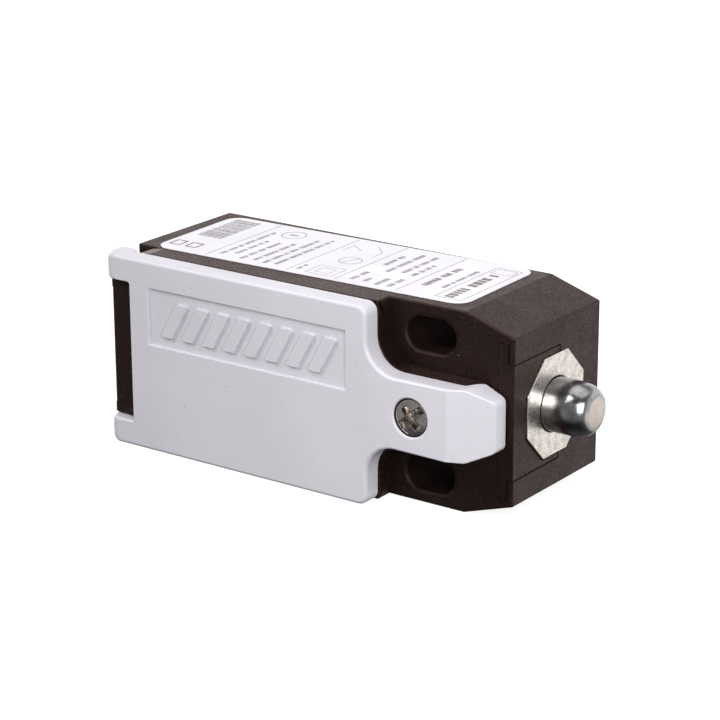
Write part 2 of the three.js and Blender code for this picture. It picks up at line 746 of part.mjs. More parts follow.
// The slider: a head that the stem pushes, and a runner under the contact carrier.
function driveSlider() {
  const { head, neck, tail, z, y0, y1, runner } = SLIDER;
  return join(block(neck, head, y0, y1, -z, z), block(tail, neck + 0.1, runner, y1, -z, z));
}

// The carrier: a block with a window for each contact bridge.
function contactCarrier() {
  const { x0, x1, z, y0, y1 } = CARRIER;
  const web = 0.7;
  const middle = (x0 + x1) / 2;
  const window = (a, b) => block(a, b, BRIDGE.y0 - 0.2, BRIDGE.y1 + 0.2, -z - 1, z + 1);
  return cut(
    block(x0, x1, y0, y1, -z, z),
    window(middle + web / 2, BRIDGE.nc + 0.3),
    window(BRIDGE.no - BRIDGE.thickness - 0.3, middle - web / 2),
  );
}

// A double-break bridge: a flat bar with a silver tip at each end.
function contactBridge(x, facing) {
  const { thickness, half, y0, y1, tipZ } = BRIDGE;
  const back = x - thickness;
  const bar = alongX(rectangle(y0, y1, -half, half, 1.2), back, x, 2);
  const ends = facing > 0 ? [x - 0.1, x + TIP.height] : [back - TIP.height, back + 0.1];
  const tips = [-1, 1].map((side) =>
    turnedX(rod(TIP.r, ...ends), 16, (y0 + y1) / 2, side * tipZ),
  );
  return join(bar, ...tips);
}

// A contact spring in the carrier's window, between its middle web and the bridge.
const bridgeSpring = (x0, x1) => coil(1.2, 0.4, 4, x0, x1, AXIS_Y, 0);

// ---------------------------------------------------------------- assembly

const limitSwitch = new THREE.Group();

// Adds a named mesh, with the material of that name, to the switch.
function add(name, made, material) {
  const { vertProperties, triVerts, numProp } = made.getMesh();
  const geometry = new THREE.BufferGeometry();
  geometry.setAttribute("position", new THREE.BufferAttribute(vertProperties, numProp));
  geometry.setIndex(new THREE.BufferAttribute(triVerts, 1));
  geometry.computeVertexNormals();
  const mesh = new THREE.Mesh(geometry, MATERIALS[material]);
  mesh.name = name;
  limitSwitch.add(mesh);
}

add("housing", housing(), "housing");
add("front_cover", frontCover(), "cover");
add("cover_gasket", coverGasket(), "rubber");
add("cover_screw", coverScrew(), "nickel");
add("screw_insert", screwInsert(), "brass");
add("head_plate", headPlate(), "housing");
add("guide_bush", guideBush(), "zinc");
add("plunger", plunger(), "steel");
add("plunger_clip", plungerClip(), "spring");
add("plunger_seal", plungerSeal(), "rubber");
add("return_spring", coil(3.05, 0.8, 5, -6.9, 1.7, AXIS_Y, 0), "spring");
add("rating_label", ratingLabel(), "label");

add("contact_base", contactBase(), "base");
add("contact_shield", contactShield(), "shield");
add("drive_slider", driveSlider(), "slider");
add("contact_carrier", contactCarrier(), "carrier");
add("bridge_nc", contactBridge(BRIDGE.nc, 1), "brass");
add("bridge_no", contactBridge(BRIDGE.no, -1), "brass");
add("bridge_spring_nc", bridgeSpring(-24, BRIDGE.nc - BRIDGE.thickness - 0.15), "spring");
add("bridge_spring_no", bridgeSpring(BRIDGE.no + 0.15, -25), "spring");
add("snap_spring", coil(1.7, 0.45, 4, CARRIER.x1 + 0.15, SLIDER.neck - 0.15, AXIS_Y, 0), "spring");
add("slider_spring", coil(1.3, 0.45, 7, BASE.x0 + 1.15, SLIDER.tail - 0.15, -7.1, 0), "spring");

for (const place of terminalPlaces()) {
  add(`terminal_${place.name}`, terminalStrip(place), "brass");
  add(`clamp_${place.name}`, clampPlate(place), "nickel");
  add(`terminal_screw_${place.name}`, terminalScrew(place), "nickel");
}
add("block_screw_a", blockScrew(1), "nickel");
add("block_screw_b", blockScrew(-1), "nickel");

export default limitSwitch;
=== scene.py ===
"""Looks of the limit switch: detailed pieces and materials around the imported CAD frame.

Shapes are written in millimetres in the CAD frame (+X out along the plunger, -Y towards the cover,
+Z up) and turned into metres as each mesh is made.
"""
import math
import random
from contextlib import contextmanager

import bmesh
import bpy
from mathutils import Matrix, Vector


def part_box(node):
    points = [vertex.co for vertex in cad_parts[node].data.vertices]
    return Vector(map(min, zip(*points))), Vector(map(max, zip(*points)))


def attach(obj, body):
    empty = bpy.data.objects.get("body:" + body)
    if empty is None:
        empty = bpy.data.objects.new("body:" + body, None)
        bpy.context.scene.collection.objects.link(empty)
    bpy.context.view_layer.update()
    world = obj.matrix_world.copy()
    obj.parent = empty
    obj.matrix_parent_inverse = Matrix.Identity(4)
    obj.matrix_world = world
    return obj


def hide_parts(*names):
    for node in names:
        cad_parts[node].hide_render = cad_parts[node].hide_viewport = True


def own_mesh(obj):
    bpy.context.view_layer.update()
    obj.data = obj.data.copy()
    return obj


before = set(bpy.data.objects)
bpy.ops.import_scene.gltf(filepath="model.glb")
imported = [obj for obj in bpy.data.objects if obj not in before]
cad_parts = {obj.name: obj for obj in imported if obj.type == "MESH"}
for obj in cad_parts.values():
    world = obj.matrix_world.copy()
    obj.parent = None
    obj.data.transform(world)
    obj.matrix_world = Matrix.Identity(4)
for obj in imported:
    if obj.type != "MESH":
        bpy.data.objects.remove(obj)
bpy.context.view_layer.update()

MM = 0.001


# ---------------- sizes from the frame


class Extent:
    """A CAD node's box in millimetres: x0, x1, y0, y1, z0, z1."""

    def __init__(self, node):
        low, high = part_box(node)
        self.x0, self.y0, self.z0 = (value / MM for value in low)
        self.x1, self.y1, self.z1 = (value / MM for value in high)
        self.x, self.y, self.z = (
            (a + b) / 2 for a, b in zip((self.x0, self.y0, self.z0), (self.x1, self.y1, self.z1))
        )


HOUSING = Extent("housing")
COVER = Extent("front_cover")
PLATE = Extent("head_plate")
BUSH = Extent("guide_bush")
PIN = Extent("plunger")
COVER_SCREW = Extent("cover_screw")
LABEL = Extent("rating_label")

HALF_WIDTH = HOUSING.z1
HEAD_END = HOUSING.x1
CABLE_END = HOUSING.x0 + 1.3  # the hinge bar stands 1.3 proud of the end face
RIM_Y = -25.7  # front rim of the housing
RECESS_Y = PLATE.y0  # floor of the recess in front of the fixing slots
AXIS_Y = BUSH.y  # plunger axis

CHAMFER_X, CHAMFER_Z = 5.7, 12.4
SHOULDER_X, SHOULDER_R = -7.0, 4.7
TONGUE_Z, TONGUE_TAPER, TONGUE_TIP, TONGUE_TIP_Z = 5.4, 9.0, 12.8, 3.7
TONGUE_CREASE, TONGUE_TIP_Y = 6.7, -25.8
TIP_SHARPNESS = 0.35  # the fillet shrinks to this share of its size towards the tip
LAND_TOP, LAND_FOOT = 7.6, 9.2
PLATE_BACK = -26.0  # inner face of the cover plate
PANEL_DEPTH = 0.42
NOTCH_X, NOTCH_Z = -50.7, 11.0  # between the cover's lugs
SLOT_Z, SLOT_LENGTH, SLOT_WIDTH = 10.5, 8.5, 5.3
SLOT_WALL, SLOT_MARGIN = 4.1, 1.0  # each slot is wider inside, between its two walls
ENTRY_Y, ENTRY_MINOR, ENTRY_MAJOR, ENTRY_PITCH = -13.0, 9.3, 9.95, 1.5
CAVITY_X0, CAVITY_X1, CAVITY_Z, CAVITY_BACK = -49.9, -9.0, 12.7, -2.4
LEDGE_MARGIN, LEDGE_Y = 0.8, -24.2
HINGE_X, HINGE_Y = -53.4, -25.6
BAR_Z, BAR_RIGHT, BAR_FRONT, BAR_BACK = 10.8, -51.2, HOUSING.y0, -22.0
POCKET_X, POCKET_Y, RAMP_X, RAMP_DROP = -51.7, -22.2, -49.2, 0.4  # beside the hinge bar
EAR_X, EAR_Y, EAR_R = -52.1, -24.3, 1.35
PLATE_Z, PLATE_EAR_X, PLATE_EAR_Y = 8.46, 12.8, -12.3  # the middle and the ears of the insert
SLEEVE_BORE, SPRING_BORE, STEM_BORE = 5.6, 5.9, 2.5  # room round the sleeve, spring and stem
SPRING_FLOOR, SLEEVE_ROOM = -7.2, 8.4  # where the spring's bore and the sleeve's begin
THREAD_SEAT_R, THREAD_SEAT_Y = 2.6, -19.2  # hole for the threaded insert, and its end
PIVOT_R, PIVOT_HOLE_R = 1.1, 1.3
BLOCK_SCREW_X, BLOCK_SCREW_Z = -43.6, 9.0
BUSH_FLATS, BUSH_THICK = 15.0, 1.1
PIN_R, PIN_TIP_R, PIN_DOME, PIN_BORE = 4.0, 2.2, 17.4, 4.1
SEAL_START, SEAL_END, CLIP_GROOVE_R = 4.6, 6.6, 3.3
SCREW_R, SCREW_SEAT, SCREW_HOLE_R, SCREW_SHANK_R = 2.72, -26.85, 2.85, 1.65
SEAM = 0.2
TERMINALS = ("nc_a", "nc_b", "no_a", "no_b")


# ---------------- outlines, in millimetres


def is_counterclockwise(points):
    area = 0.0
    for (u0, v0, *_), (u1, v1, *_) in zip(points, points[1:] + points[:1]):
        area += u0 * v1 - u1 * v0
    return area > 0


def inset(points, margin):
    """The corners moved inwards by a margin. A rounded corner (u, v, radius) keeps its centre."""
    side = 1 if is_counterclockwise(points) else -1
    made = []
    for index, (u, v, *radius) in enumerate(points):
        corner = Vector((u, v))
        before = (corner - Vector(points[index - 1][:2])).normalized()
        after = (Vector(points[(index + 1) % len(points)][:2]) - corner).normalized()
        inward = side * Vector((-before.y, before.x))
        bisector = (inward + side * Vector((-after.y, after.x))).normalized()
        moved = corner + bisector * (margin / bisector.dot(inward))
        convex = side * (before.x * after.y - before.y * after.x) > 0
        rounded = [max(radius[0] + (-margin if convex else margin), 0.03)] if radius else []
        made.append((*moved, *rounded))
    return made


def outline(points, steps=6):
    """The (u, v) points of a closed outline, with each rounded corner drawn as an arc."""
    made = []
    for index, (u, v, *radius) in enumerate(points):
        corner = Vector((u, v))
        if not radius:
            made.append(corner)
            continue
        before = (Vector(points[index - 1][:2]) - corner).normalized()
        after = (Vector(points[(index + 1) % len(points)][:2]) - corner).normalized()
        half = before.angle(after) / 2
        reach = radius[0] / math.tan(half)
        centre = corner + (before + after).normalized() * (radius[0] / math.sin(half))
        start, end = corner + before * reach - centre, corner + after * reach - centre
        turn = math.atan2(start.x * end.y - start.y * end.x, start.dot(end))
        first = math.atan2(start.y, start.x)
        for step in range(steps + 1):
            angle = first + turn * step / steps
            made.append(centre + radius[0] * Vector((math.cos(angle), math.sin(angle))))
    return made


def rectangle(u0, u1, v0, v1, radius=None):
    corners = [(u0, v0), (u1, v0), (u1, v1), (u0, v1)]
    return corners if radius is None else [(u, v, radius) for u, v in corners]


def circle(radius, count, u=0.0, v=0.0, first=0.0):
    """Points round a circle; first is the first point's place, as a share of a step."""
    turns = [2 * math.pi * (i + first) / count for i in range(count)]
    return [(u + radius * math.cos(t), v + radius * math.sin(t)) for t in turns]


def octagon(flats, radius, y=AXIS_Y, z=0.0):
    """An octagon in Y and Z with its flats on the sides."""
    reach = flats / 2 / math.cos(math.pi / 8)
    return [(*spot, radius) for spot in circle(reach, 8, y, z, 0.5)]


# ---------------- meshes


def placed(u, v, along, axis):
    """A shape's point in metres. Shapes along X are drawn in Y and Z, and so on in that order."""
    spots = {"X": (along, u, v), "Y": (u, along, v), "Z": (u, v, along)}
    return Vector(spots[axis]) * MM


def make_object(name, mesh_data):
    made = bpy.data.objects.new(name, mesh_data)
    bpy.context.scene.collection.objects.link(made)
    return made


def from_bmesh(name, mesh):
    bmesh.ops.recalc_face_normals(mesh, faces=mesh.faces)
    data = bpy.data.meshes.new(name)
    mesh.to_mesh(data)
    mesh.free()
    return make_object(name, data)


def add_skin(mesh, rings, closed=False):
    """Faces over rings of points in metres, with end caps or else closed on themselves."""
    loops = [[mesh.verts.new(spot) for spot in ring] for ring in rings]
    for lower, upper in zip(loops, loops[1:] + loops[:1] if closed else loops[1:]):
        for i in range(len(lower)):
            mesh.faces.new((lower[i - 1], lower[i], upper[i], upper[i - 1]))
    if not closed:
        mesh.faces.new(loops[0])
        mesh.faces.new(loops[-1])
    return mesh


def loft(name, rings, axis):
    """A closed solid through rings, each (place along the axis, outline points)."""
    spots = [[placed(u, v, along, axis) for u, v in ring] for along, ring in rings]
    return from_bmesh(name, add_skin(bmesh.new(), spots))


def prism(name, corners, axis, start, end, steps=6):
    shape = outline(corners, steps)
    return loft(name, [(start, shape), (end, shape)], axis)


def block(name, x0, x1, y0, y1, z0, z1):
    return prism(name, rectangle(x0, x1, y0, y1), "Z", z0, z1)


def fillet_steps(radius, steps=5):
    """(depth from the face, margin from the side) along a rounded edge."""
    turns = [step / steps * math.pi / 2 for step in range(steps + 1)]
    return [(radius * (1 - math.cos(t)), radius * (1 - math.sin(t))) for t in turns]


def slab(name, corners, axis, start, end, start_radius, end_radius, steps=6):
    """A plate along an axis whose edges are rounded at its two faces."""
    sense = 1 if end > start else -1
    places = [(start + sense * d, m) for d, m in fillet_steps(start_radius)]
    places += [(end - sense * d, m) for d, m in reversed(fillet_steps(end_radius))]
    rings = [(along, outline(inset(corners, margin), steps)) for along, margin in places]
    return loft(name, rings, axis)


def lathe(name, profile, axis="X", u=AXIS_Y, v=0.0, segments=64):
    """A turned solid about the line at (u, v), from (radius, along) points.

    The profile starts and ends on the line, or else it closes on itself."""
    mesh = bmesh.new()
    rings = []
    for radius, along in profile:
        if radius == 0:
            rings.append([mesh.verts.new(placed(u, v, along, axis))])
            continue
        spots = circle(radius, segments, u, v)
        rings.append([mesh.verts.new(placed(a, b, along, axis)) for a, b in spots])
    closed = profile[0][0] > 0
    pairs = zip(rings, rings[1:] + rings[:1]) if closed else zip(rings, rings[1:])
    for lower, upper in pairs:
        for i in range(segments):
            j = (i + 1) % segments
            corners = [lower[i % len(lower)], lower[j % len(lower)]]
            corners += [upper[j % len(upper)], upper[i % len(upper)]]
            mesh.faces.new(list(dict.fromkeys(corners)))
    return from_bmesh(name, mesh)


def rod(radius, start, end):
    return [(0, start), (radius, start), (radius, end), (0, end)]


def tube(inner, outer, start, end, bevel):
    """Profile of a ring with its four edges broken."""
    lower = [(inner, start + bevel), (inner + bevel, start), (outer - bevel, start)]
    upper = [(outer - bevel, end), (inner + bevel, end), (inner, end - bevel)]
    return [*lower, (outer, start + bevel), (outer, end - bevel), *upper]


def swept_wire(name, points, radius, sides=12):
    """A round wire through points, in millimetres, with closed ends."""
    rings = []
    up = Vector((1, 0, 0))
    for index, point in enumerate(points):
        ahead = points[min(index + 1, len(points) - 1)] - points[max(index - 1, 0)]
        forward = ahead.normalized()
        side = up.cross(forward).normalized()
        lift = forward.cross(side)
        rings.append([(point + a * side + b * lift) * MM for a, b in circle(radius, sides)])
    return from_bmesh(name, add_skin(bmesh.new(), rings))


# ---------------- working on meshes


@contextmanager
def edited(piece):
    """The piece's mesh, open for changes."""
    mesh = bmesh.new()
    mesh.from_mesh(piece.data)
    yield mesh
    mesh.to_mesh(piece.data)
    mesh.free()


def merge_flat(mesh, degrees):
    """Joins faces that lie in one plane."""
    limit = math.radians(degrees)
    bmesh.ops.dissolve_limit(mesh, angle_limit=limit, verts=mesh.verts, edges=mesh.edges)


def settled(piece):
    """Applies the piece's modifiers to its mesh."""
    graph = bpy.context.evaluated_depsgraph_get()
    made = bpy.data.meshes.new_from_object(piece.evaluated_get(graph), depsgraph=graph)
    piece.modifiers.clear()
    piece.data = made
    return piece


def combined(piece, tools, operation):
    for tool in tools:
        step = piece.modifiers.new("combine", "BOOLEAN")
        step.operation, step.object, step.solver = operation, tool, "MANIFOLD"
    settled(piece)
    for tool in tools:
        bpy.data.objects.remove(tool)
    return piece


def fuse(piece, *tools):
    return combined(piece, tools, "UNION")


def carve(piece, *tools):
    return combined(piece, tools, "DIFFERENCE")


def round_edges(piece, radius, where=None, steps=3, sharper_than=38):
    """Rounds the sharp outer edges whose middle, in millimetres, passes the test."""
    with edited(piece) as mesh:
        merge_flat(mesh, 0.3)
        edges = []
        for edge in mesh.edges:
            if not edge.is_convex or edge.calc_face_angle(0) < math.radians(sharper_than):
                continue
            middle = (edge.verts[0].co + edge.verts[1].co) / 2 / MM
            if where is None or where(middle):
                edges.append(edge)
        bmesh.ops.bevel(
            mesh, geom=edges, offset=radius * MM, segments=steps, profile=0.5,
            affect="EDGES", clamp_overlap=False, miter_outer="ARC",
        )
    return piece


def shaded(piece, angle, turned):
    """Smooth shading that keeps flat faces flat, or follows the curve of a turned piece."""
    with edited(piece) as mesh:
        merge_flat(mesh, 0.4)
    smooth_all(piece)
    piece.data.set_sharp_from_angle(angle=math.radians(angle))
    if not turned:
        keep_flats(piece).weight = 98


def smooth_all(piece):
    piece.data.polygons.foreach_set("use_smooth", [True] * len(piece.data.polygons))


def keep_flats(piece):
    step = piece.modifiers.new("flat faces stay flat", "WEIGHTED_NORMAL")
    step.keep_sharp = True
    return step


def painted(piece, material):
    piece.data.materials.clear()
    piece.data.materials.append(material)


def repaint(piece, pick, *materials):
    """Adds materials; pick numbers each face's, from its centre in millimetres and its normal."""
    for material in materials:
        piece.data.materials.append(material)
    for face in piece.data.polygons:
        face.material_index = int(pick(face.center / MM, face.normal))


def finished(piece, body, material, slot, *stands_for, smooth_below=32, turned=False):
    """Shades a piece, paints it and puts it on its body in place of the CAD nodes it stands for."""
    shaded(piece, smooth_below, turned)
    painted(piece, material)
    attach(piece, body)
    if stands_for:
        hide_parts(*stands_for)
    return piece


def dress(node, material, radius):
    """Gives a CAD node soft edges and a material, and leaves its mesh as it is."""
    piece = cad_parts[node]
    piece.modifiers.new("weld", "WELD").merge_threshold = 0.002 * MM
    flat = piece.modifiers.new("flat faces", "DECIMATE")
    flat.decimate_type, flat.angle_limit = "DISSOLVE", math.radians(0.5)
    bevel = piece.modifiers.new("soft edges", "BEVEL")
    bevel.width, bevel.segments = radius * MM, 2
    bevel.limit_method, bevel.angle_limit = "ANGLE", math.radians(40)
    bevel.use_clamp_overlap = True
    keep_flats(piece)
    smooth_all(piece)
    painted(piece, material)


# ---------------- materials


class Shader:
    """Nodes under construction: a material on object coordinates in metres, or the world."""

    def __init__(self, name, library=bpy.data.materials, surface="Principled BSDF", place="Object"):
        self.material = library.new(name)
        self.material.use_nodes = True
        self.nodes = self.material.node_tree.nodes
        self.links = self.material.node_tree.links
        self.surface = self.nodes[surface]
        self.coordinates = self.add("ShaderNodeTexCoord").outputs[place]

    def add(self, kind, **settings):
        node = self.nodes.new(kind)
        for key, value in settings.items():
            setattr(node, key, value)
        return node

    def feed(self, slot, value):
        """Links a socket to an input, or sets the input's own value."""
        if isinstance(value, bpy.types.NodeSocket):
            self.links.new(value, slot)
        else:
            slot.default_value = value

    def put(self, node, **values):
        """Feeds a node's inputs, by name with _ for a space."""
        for key, value in values.items():
            self.feed(node.inputs[key.replace("_", " ")], value)
        return node

    def stretched(self, scale):
        node = self.add("ShaderNodeMapping")
        return self.put(node, Vector=self.coordinates, Scale=scale).outputs["Vector"]

    def noise(self, scale, detail=3.0, rough=0.5, stretch=None):
        where = self.stretched(stretch) if stretch else self.coordinates
        node = self.add("ShaderNodeTexNoise")
        self.put(node, Vector=where, Scale=scale, Detail=detail, Roughness=rough)
        return node.outputs["Fac"]

    def cells(self, scale):
        node = self.add("ShaderNodeTexVoronoi")
        self.put(node, Vector=self.coordinates, Scale=scale)
        return node.outputs["Distance"]

    def ranged(self, value, low, high, to_low=0.0, to_high=1.0, **settings):
        node = self.add("ShaderNodeMapRange", **settings)
        self.put(node, From_Min=low, From_Max=high, To_Min=to_low, To_Max=to_high, Value=value)
        return node.outputs["Result"]

    def mixed(self, factor, a, b):
        """A colour between a and b, each a colour or a socket."""
        node = self.add("ShaderNodeMix", data_type="RGBA")
        self.links.new(factor, node.inputs["Factor"])
        for slot, value in ((node.inputs[6], a), (node.inputs[7], b)):
            self.feed(slot, (*value, 1.0) if isinstance(value, tuple) else value)
        return node.outputs[2]

    def math(self, operation, a, b):
        node = self.add("ShaderNodeMath", operation=operation)
        for slot, value in zip(node.inputs, (a, b)):
            self.feed(slot, value)
        return node.outputs["Value"]

    def edges(self, radius):
        """1 on edges rounder than flat, from the bevelled normal, 0 on flat faces."""
        bevel = self.put(self.add("ShaderNodeBevel", samples=4), Radius=radius)
        flat = self.add("ShaderNodeNewGeometry").outputs["Normal"]
        dot = self.add("ShaderNodeVectorMath", operation="DOT_PRODUCT")
        self.links.new(bevel.outputs["Normal"], dot.inputs[0])
        self.links.new(flat, dot.inputs[1])
        return self.ranged(self.math("SUBTRACT", 1.0, dot.outputs["Value"]), 0.01, 0.12)

    def bump(self, height, strength, distance, after=None):
        node = self.add("ShaderNodeBump")
        self.put(node, Height=height, Strength=strength, Distance=distance)
        if after:
            self.put(node, Normal=after)
        return node.outputs["Normal"]


def linear(red, green, blue):
    """A colour given as 0 to 255 display values, in scene values."""

    def one(value):
        value /= 255
        return value / 12.92 if value <= 0.04045 else ((value + 0.055) / 1.055) ** 2.4

    return one(red), one(green), one(blue)


def moulded(
    name, dark, light, gloss, grain=0.25, grain_size=2600, specular=0.5, tint=None, dust=None,
    fleck=None,
):
    """Moulded plastic: a soft tone drift, a fine grain, worn edges, dust and a few specks."""
    s = Shader(name)
    drift = s.ranged(s.noise(70, 4), 0.3, 0.7)
    colour = s.mixed(drift, dark, light)
    fine = s.noise(grain_size, 3, 0.6)
    colour = s.mixed(s.ranged(fine, 0.4, 0.65, 0, 0.4), colour, light)
    worn = s.math("MULTIPLY", s.edges(0.00025), s.ranged(s.noise(900, 3), 0.42, 0.62))
    colour = s.mixed(s.math("MULTIPLY", worn, 0.3), colour, tuple(min(1, c * 2.2) for c in light))
    if fleck:
        specks = s.ranged(s.cells(520), 0.04, 0.055, 1, 0)
        rare = s.ranged(s.noise(230, 1), 0.56, 0.6)
        colour = s.mixed(s.math("MULTIPLY", specks, rare), colour, fleck)
    if dust:
        dots = s.ranged(s.cells(2700), 0.1, 0.26, 1, 0)
        dots = s.math("MULTIPLY", dots, s.ranged(s.noise(2100, 2), 0.48, 0.6, 0.1, 0.75))
        colour = s.mixed(dots, colour, dust)
    scuffs = s.ranged(s.noise(240, 4, 0.6), 0.35, 0.7, gloss - 0.04, gloss + 0.06)
    mottle = s.noise(2600, 3, 0.6)
    depth = 0.3 * grain * gloss
    scuffs = s.math("ADD", scuffs, s.ranged(mottle, 0.35, 0.65, -depth, 0.7 * depth))
    normal = s.bump(fine, grain, 0.00005)
    normal = s.bump(mottle, 0.2 * grain, 0.00005, normal)
    normal = s.bump(s.noise(260, 2), 0.12, 0.0001, normal)
    s.put(s.surface, Base_Color=colour, Roughness=scuffs, Normal=normal)
    s.put(s.surface, Specular_IOR_Level=specular)
    if tint:
        s.put(s.surface, Specular_Tint=(*tint, 1.0))
    if dust:
        lying = s.ranged(s.noise(3000, 2, 0.7), 0.42, 0.7, 0.02, 0.32)
        haze = tuple(6 * c for c in dust)
        s.put(s.surface, Sheen_Weight=lying, Sheen_Tint=(*haze, 1.0), Sheen_Roughness=0.4)
    return s.material


def turned_metal(name, dark, light, gloss, rings=9000, waves=0.00006):
    """Bright turned metal: fine rings, a cloudy tone, handling marks and waves this deep."""
    s = Shader(name)
    cloud = s.ranged(s.noise(420, 5, 0.6), 0.3, 0.72)
    colour = s.mixed(cloud, dark, light)
    lines = s.noise(rings, 2, stretch=(1.0, 0.02, 0.02))
    colour = s.mixed(s.ranged(lines, 0.3, 0.7, 0, 0.3), colour, dark)
    worn = s.edges(0.0003)
    colour = s.mixed(s.math("MULTIPLY", worn, 0.4), colour, light)
    rough = s.ranged(s.noise(900, 5, 0.65), 0.3, 0.75, gloss * 0.7, gloss * 1.6)
    normal = s.bump(lines, 0.16, 0.00002)
    normal = s.bump(s.noise(700, 4, 0.6), 0.14, waves, normal)
    s.put(s.surface, Base_Color=colour, Roughness=rough, Normal=normal, Metallic=1.0)
    return s.material


def cast_metal(name, dark, light, gloss, mottle):
    """Die-cast or stamped metal: mottled tone, shallow pits and bright rubbed edges."""
    s = Shader(name)
    patches = s.ranged(s.noise(mottle * 0.25, 2), 0.3, 0.7, 0.75, 1.2)
    tone = s.ranged(s.math("MULTIPLY", s.noise(mottle, 5, 0.62), patches), 0.36, 0.62)
    colour = s.mixed(tone, dark, light)
    pits = s.ranged(s.cells(mottle * 1.2), 0.05, 0.16, 1, 0)
    pits = s.math("MULTIPLY", pits, s.ranged(s.noise(mottle * 0.6, 2), 0.5, 0.6))
    colour = s.mixed(s.math("MULTIPLY", pits, 0.25), colour, tuple(c * 0.35 for c in dark))
    colour = s.mixed(s.math("MULTIPLY", s.edges(0.0003), 0.55), colour, light)
    rough = s.ranged(tone, 0, 1, gloss + 0.14, gloss - 0.06)
    normal = s.bump(s.noise(mottle * 1.3, 4, 0.6), 0.3, 0.00004)
    normal = s.bump(pits, -0.25, 0.00005, normal)
    s.put(s.surface, Base_Color=colour, Roughness=rough, Normal=normal, Metallic=1.0)
    return s.material


def paper(name, tone, shade):
    """Printed film: nearly even, with a faint fibre and a satin face."""
    s = Shader(name)
    colour = s.mixed(s.ranged(s.noise(120, 4), 0.35, 0.7), shade, tone)
    fibre = s.noise(5200, 3, stretch=(1.0, 0.25, 1.0))
    colour = s.mixed(s.ranged(fibre, 0.3, 0.75, 0, 0.3), colour, shade)
    rough = s.ranged(s.noise(300, 3), 0.3, 0.7, 0.34, 0.48)
    s.put(s.surface, Base_Color=colour, Roughness=rough, Normal=s.bump(fibre, 0.1, 0.00002))
    return s.material


def ink(name, tone):
    """Thermal print, slightly broken up."""
    s = Shader(name)
    pale = tuple(min(1.0, c * 1.9 + 0.08) for c in tone)
    colour = s.mixed(s.ranged(s.noise(2400, 3), 0.42, 0.66), tone, pale)
    s.put(s.surface, Base_Color=colour, Roughness=s.ranged(s.noise(900, 2), 0.3, 0.7, 0.4, 0.6))
    return s.material


def rubber(name):
    s = Shader(name)
    dust = s.ranged(s.noise(500, 5, 0.7), 0.5, 0.75)
    colour = s.mixed(dust, linear(30, 30, 31), linear(62, 60, 58))
    normal = s.bump(s.noise(3000, 3), 0.3, 0.00004)
    s.put(s.surface, Base_Color=colour, Normal=normal, Roughness=s.ranged(dust, 0, 1, 0.7, 0.9))
    return s.material


HOUSING_BLACK = moulded(
    "housing black", linear(9, 5, 5), linear(20, 12, 11), 0.5, grain=0.9, grain_size=5600,
    specular=0.37, tint=(1.0, 0.64, 0.55), dust=linear(92, 68, 62), fleck=linear(150, 142, 138),
)
# Painted shade: a duller, less reflective copy of the housing black that darkens the inside of the
# fixing slots.
SLOT_SHADE_BLACK = moulded("slot shade black", linear(20, 9, 8), linear(30, 17, 15), 0.7, specular=0.1)
# Painted highlight: a light tan copy of the black for the ramp beside the hinge bar, standing in
# for the light it catches.
RAMP_HIGHLIGHT = moulded("painted ramp highlight", linear(112, 97, 94), linear(144, 128, 124), 0.55)
COVER_GREY = moulded(
    "cover grey", linear(201, 198, 206), linear(208, 205, 213), 0.42, grain=0.35,
    fleck=linear(96, 92, 100),
)
# Painted shadow: a dark grey for the counterbore's wall, so the gap round the screw head reads
# dark.
SCREW_GAP_SHADE = moulded("painted shade round the screw", linear(30, 27, 27), linear(64, 58, 57), 0.8, grain=0.5)
STEEL = turned_metal("plunger steel", linear(128, 128, 130), linear(200, 200, 201), 0.19)
FLAT_TIP = cast_metal("plunger tip", linear(206, 194, 185), linear(216, 205, 196), 0.5, 2600)
ZINC = cast_metal("zinc casting", linear(200, 192, 184), linear(232, 225, 217), 0.3, 3600)
NICKEL = turned_metal(
    "screw nickel", linear(190, 181, 178), linear(242, 233, 228), 0.13, rings=4000, waves=0.001
)
RECESS_BROWN = cast_metal("screw recess", linear(80, 74, 66), linear(190, 180, 172), 0.28, 2600)
SPRING_STEEL = turned_metal("spring steel", linear(120, 122, 126), linear(176, 178, 182), 0.25)
BRASS = cast_metal("contact brass", linear(150, 112, 48), linear(214, 176, 96), 0.3, 2200)
LABEL_FILM = paper("label film", linear(231, 228, 234), linear(221, 218, 225))
LABEL_INK = ink("label ink", linear(112, 108, 112))
LABEL_BOLD = ink("label bold ink", linear(96, 84, 84))
RUBBER = rubber("rubber")
BLOCK_GREY = moulded("block grey", linear(52, 55, 60), linear(66, 69, 74), 0.45)
SHIELD_CREAM = moulded("shield cream", linear(206, 200, 178), linear(220, 214, 194), 0.4)
SLIDER_RED = moulded("slider red", linear(160, 36, 30), linear(184, 46, 38), 0.4)
CARRIER_IVORY = moulded("carrier ivory", linear(222, 214, 192), linear(234, 227, 208), 0.4)


# ---------------- housing


def mirrored(upper):
    """Corners and their mirror below the middle plane, from the lowest to the highest."""
    return [(x, -z, radius) for x, z, radius in reversed(upper)] + upper


def tongue_corners(radius=1.5):
    """The right-hand end of the cover seen from the front, from the lower to the upper shoulder."""
    return mirrored([
        (TONGUE_TIP, TONGUE_TIP_Z, 1.0), (TONGUE_TAPER, TONGUE_Z, 1.6),
        (SHOULDER_X, TONGUE_Z, SHOULDER_R), (SHOULDER_X, HALF_WIDTH, radius),
    ])


def housing_body():
    corners = mirrored([
        (HEAD_END, CHAMFER_Z, 0.3), (CHAMFER_X, HALF_WIDTH, 0.35), (CABLE_END, HALF_WIDTH, 0.25),
    ])
    return slab("housing_shell", corners, "Y", RIM_Y, HOUSING.y1, 0.1, 0.15, steps=4)


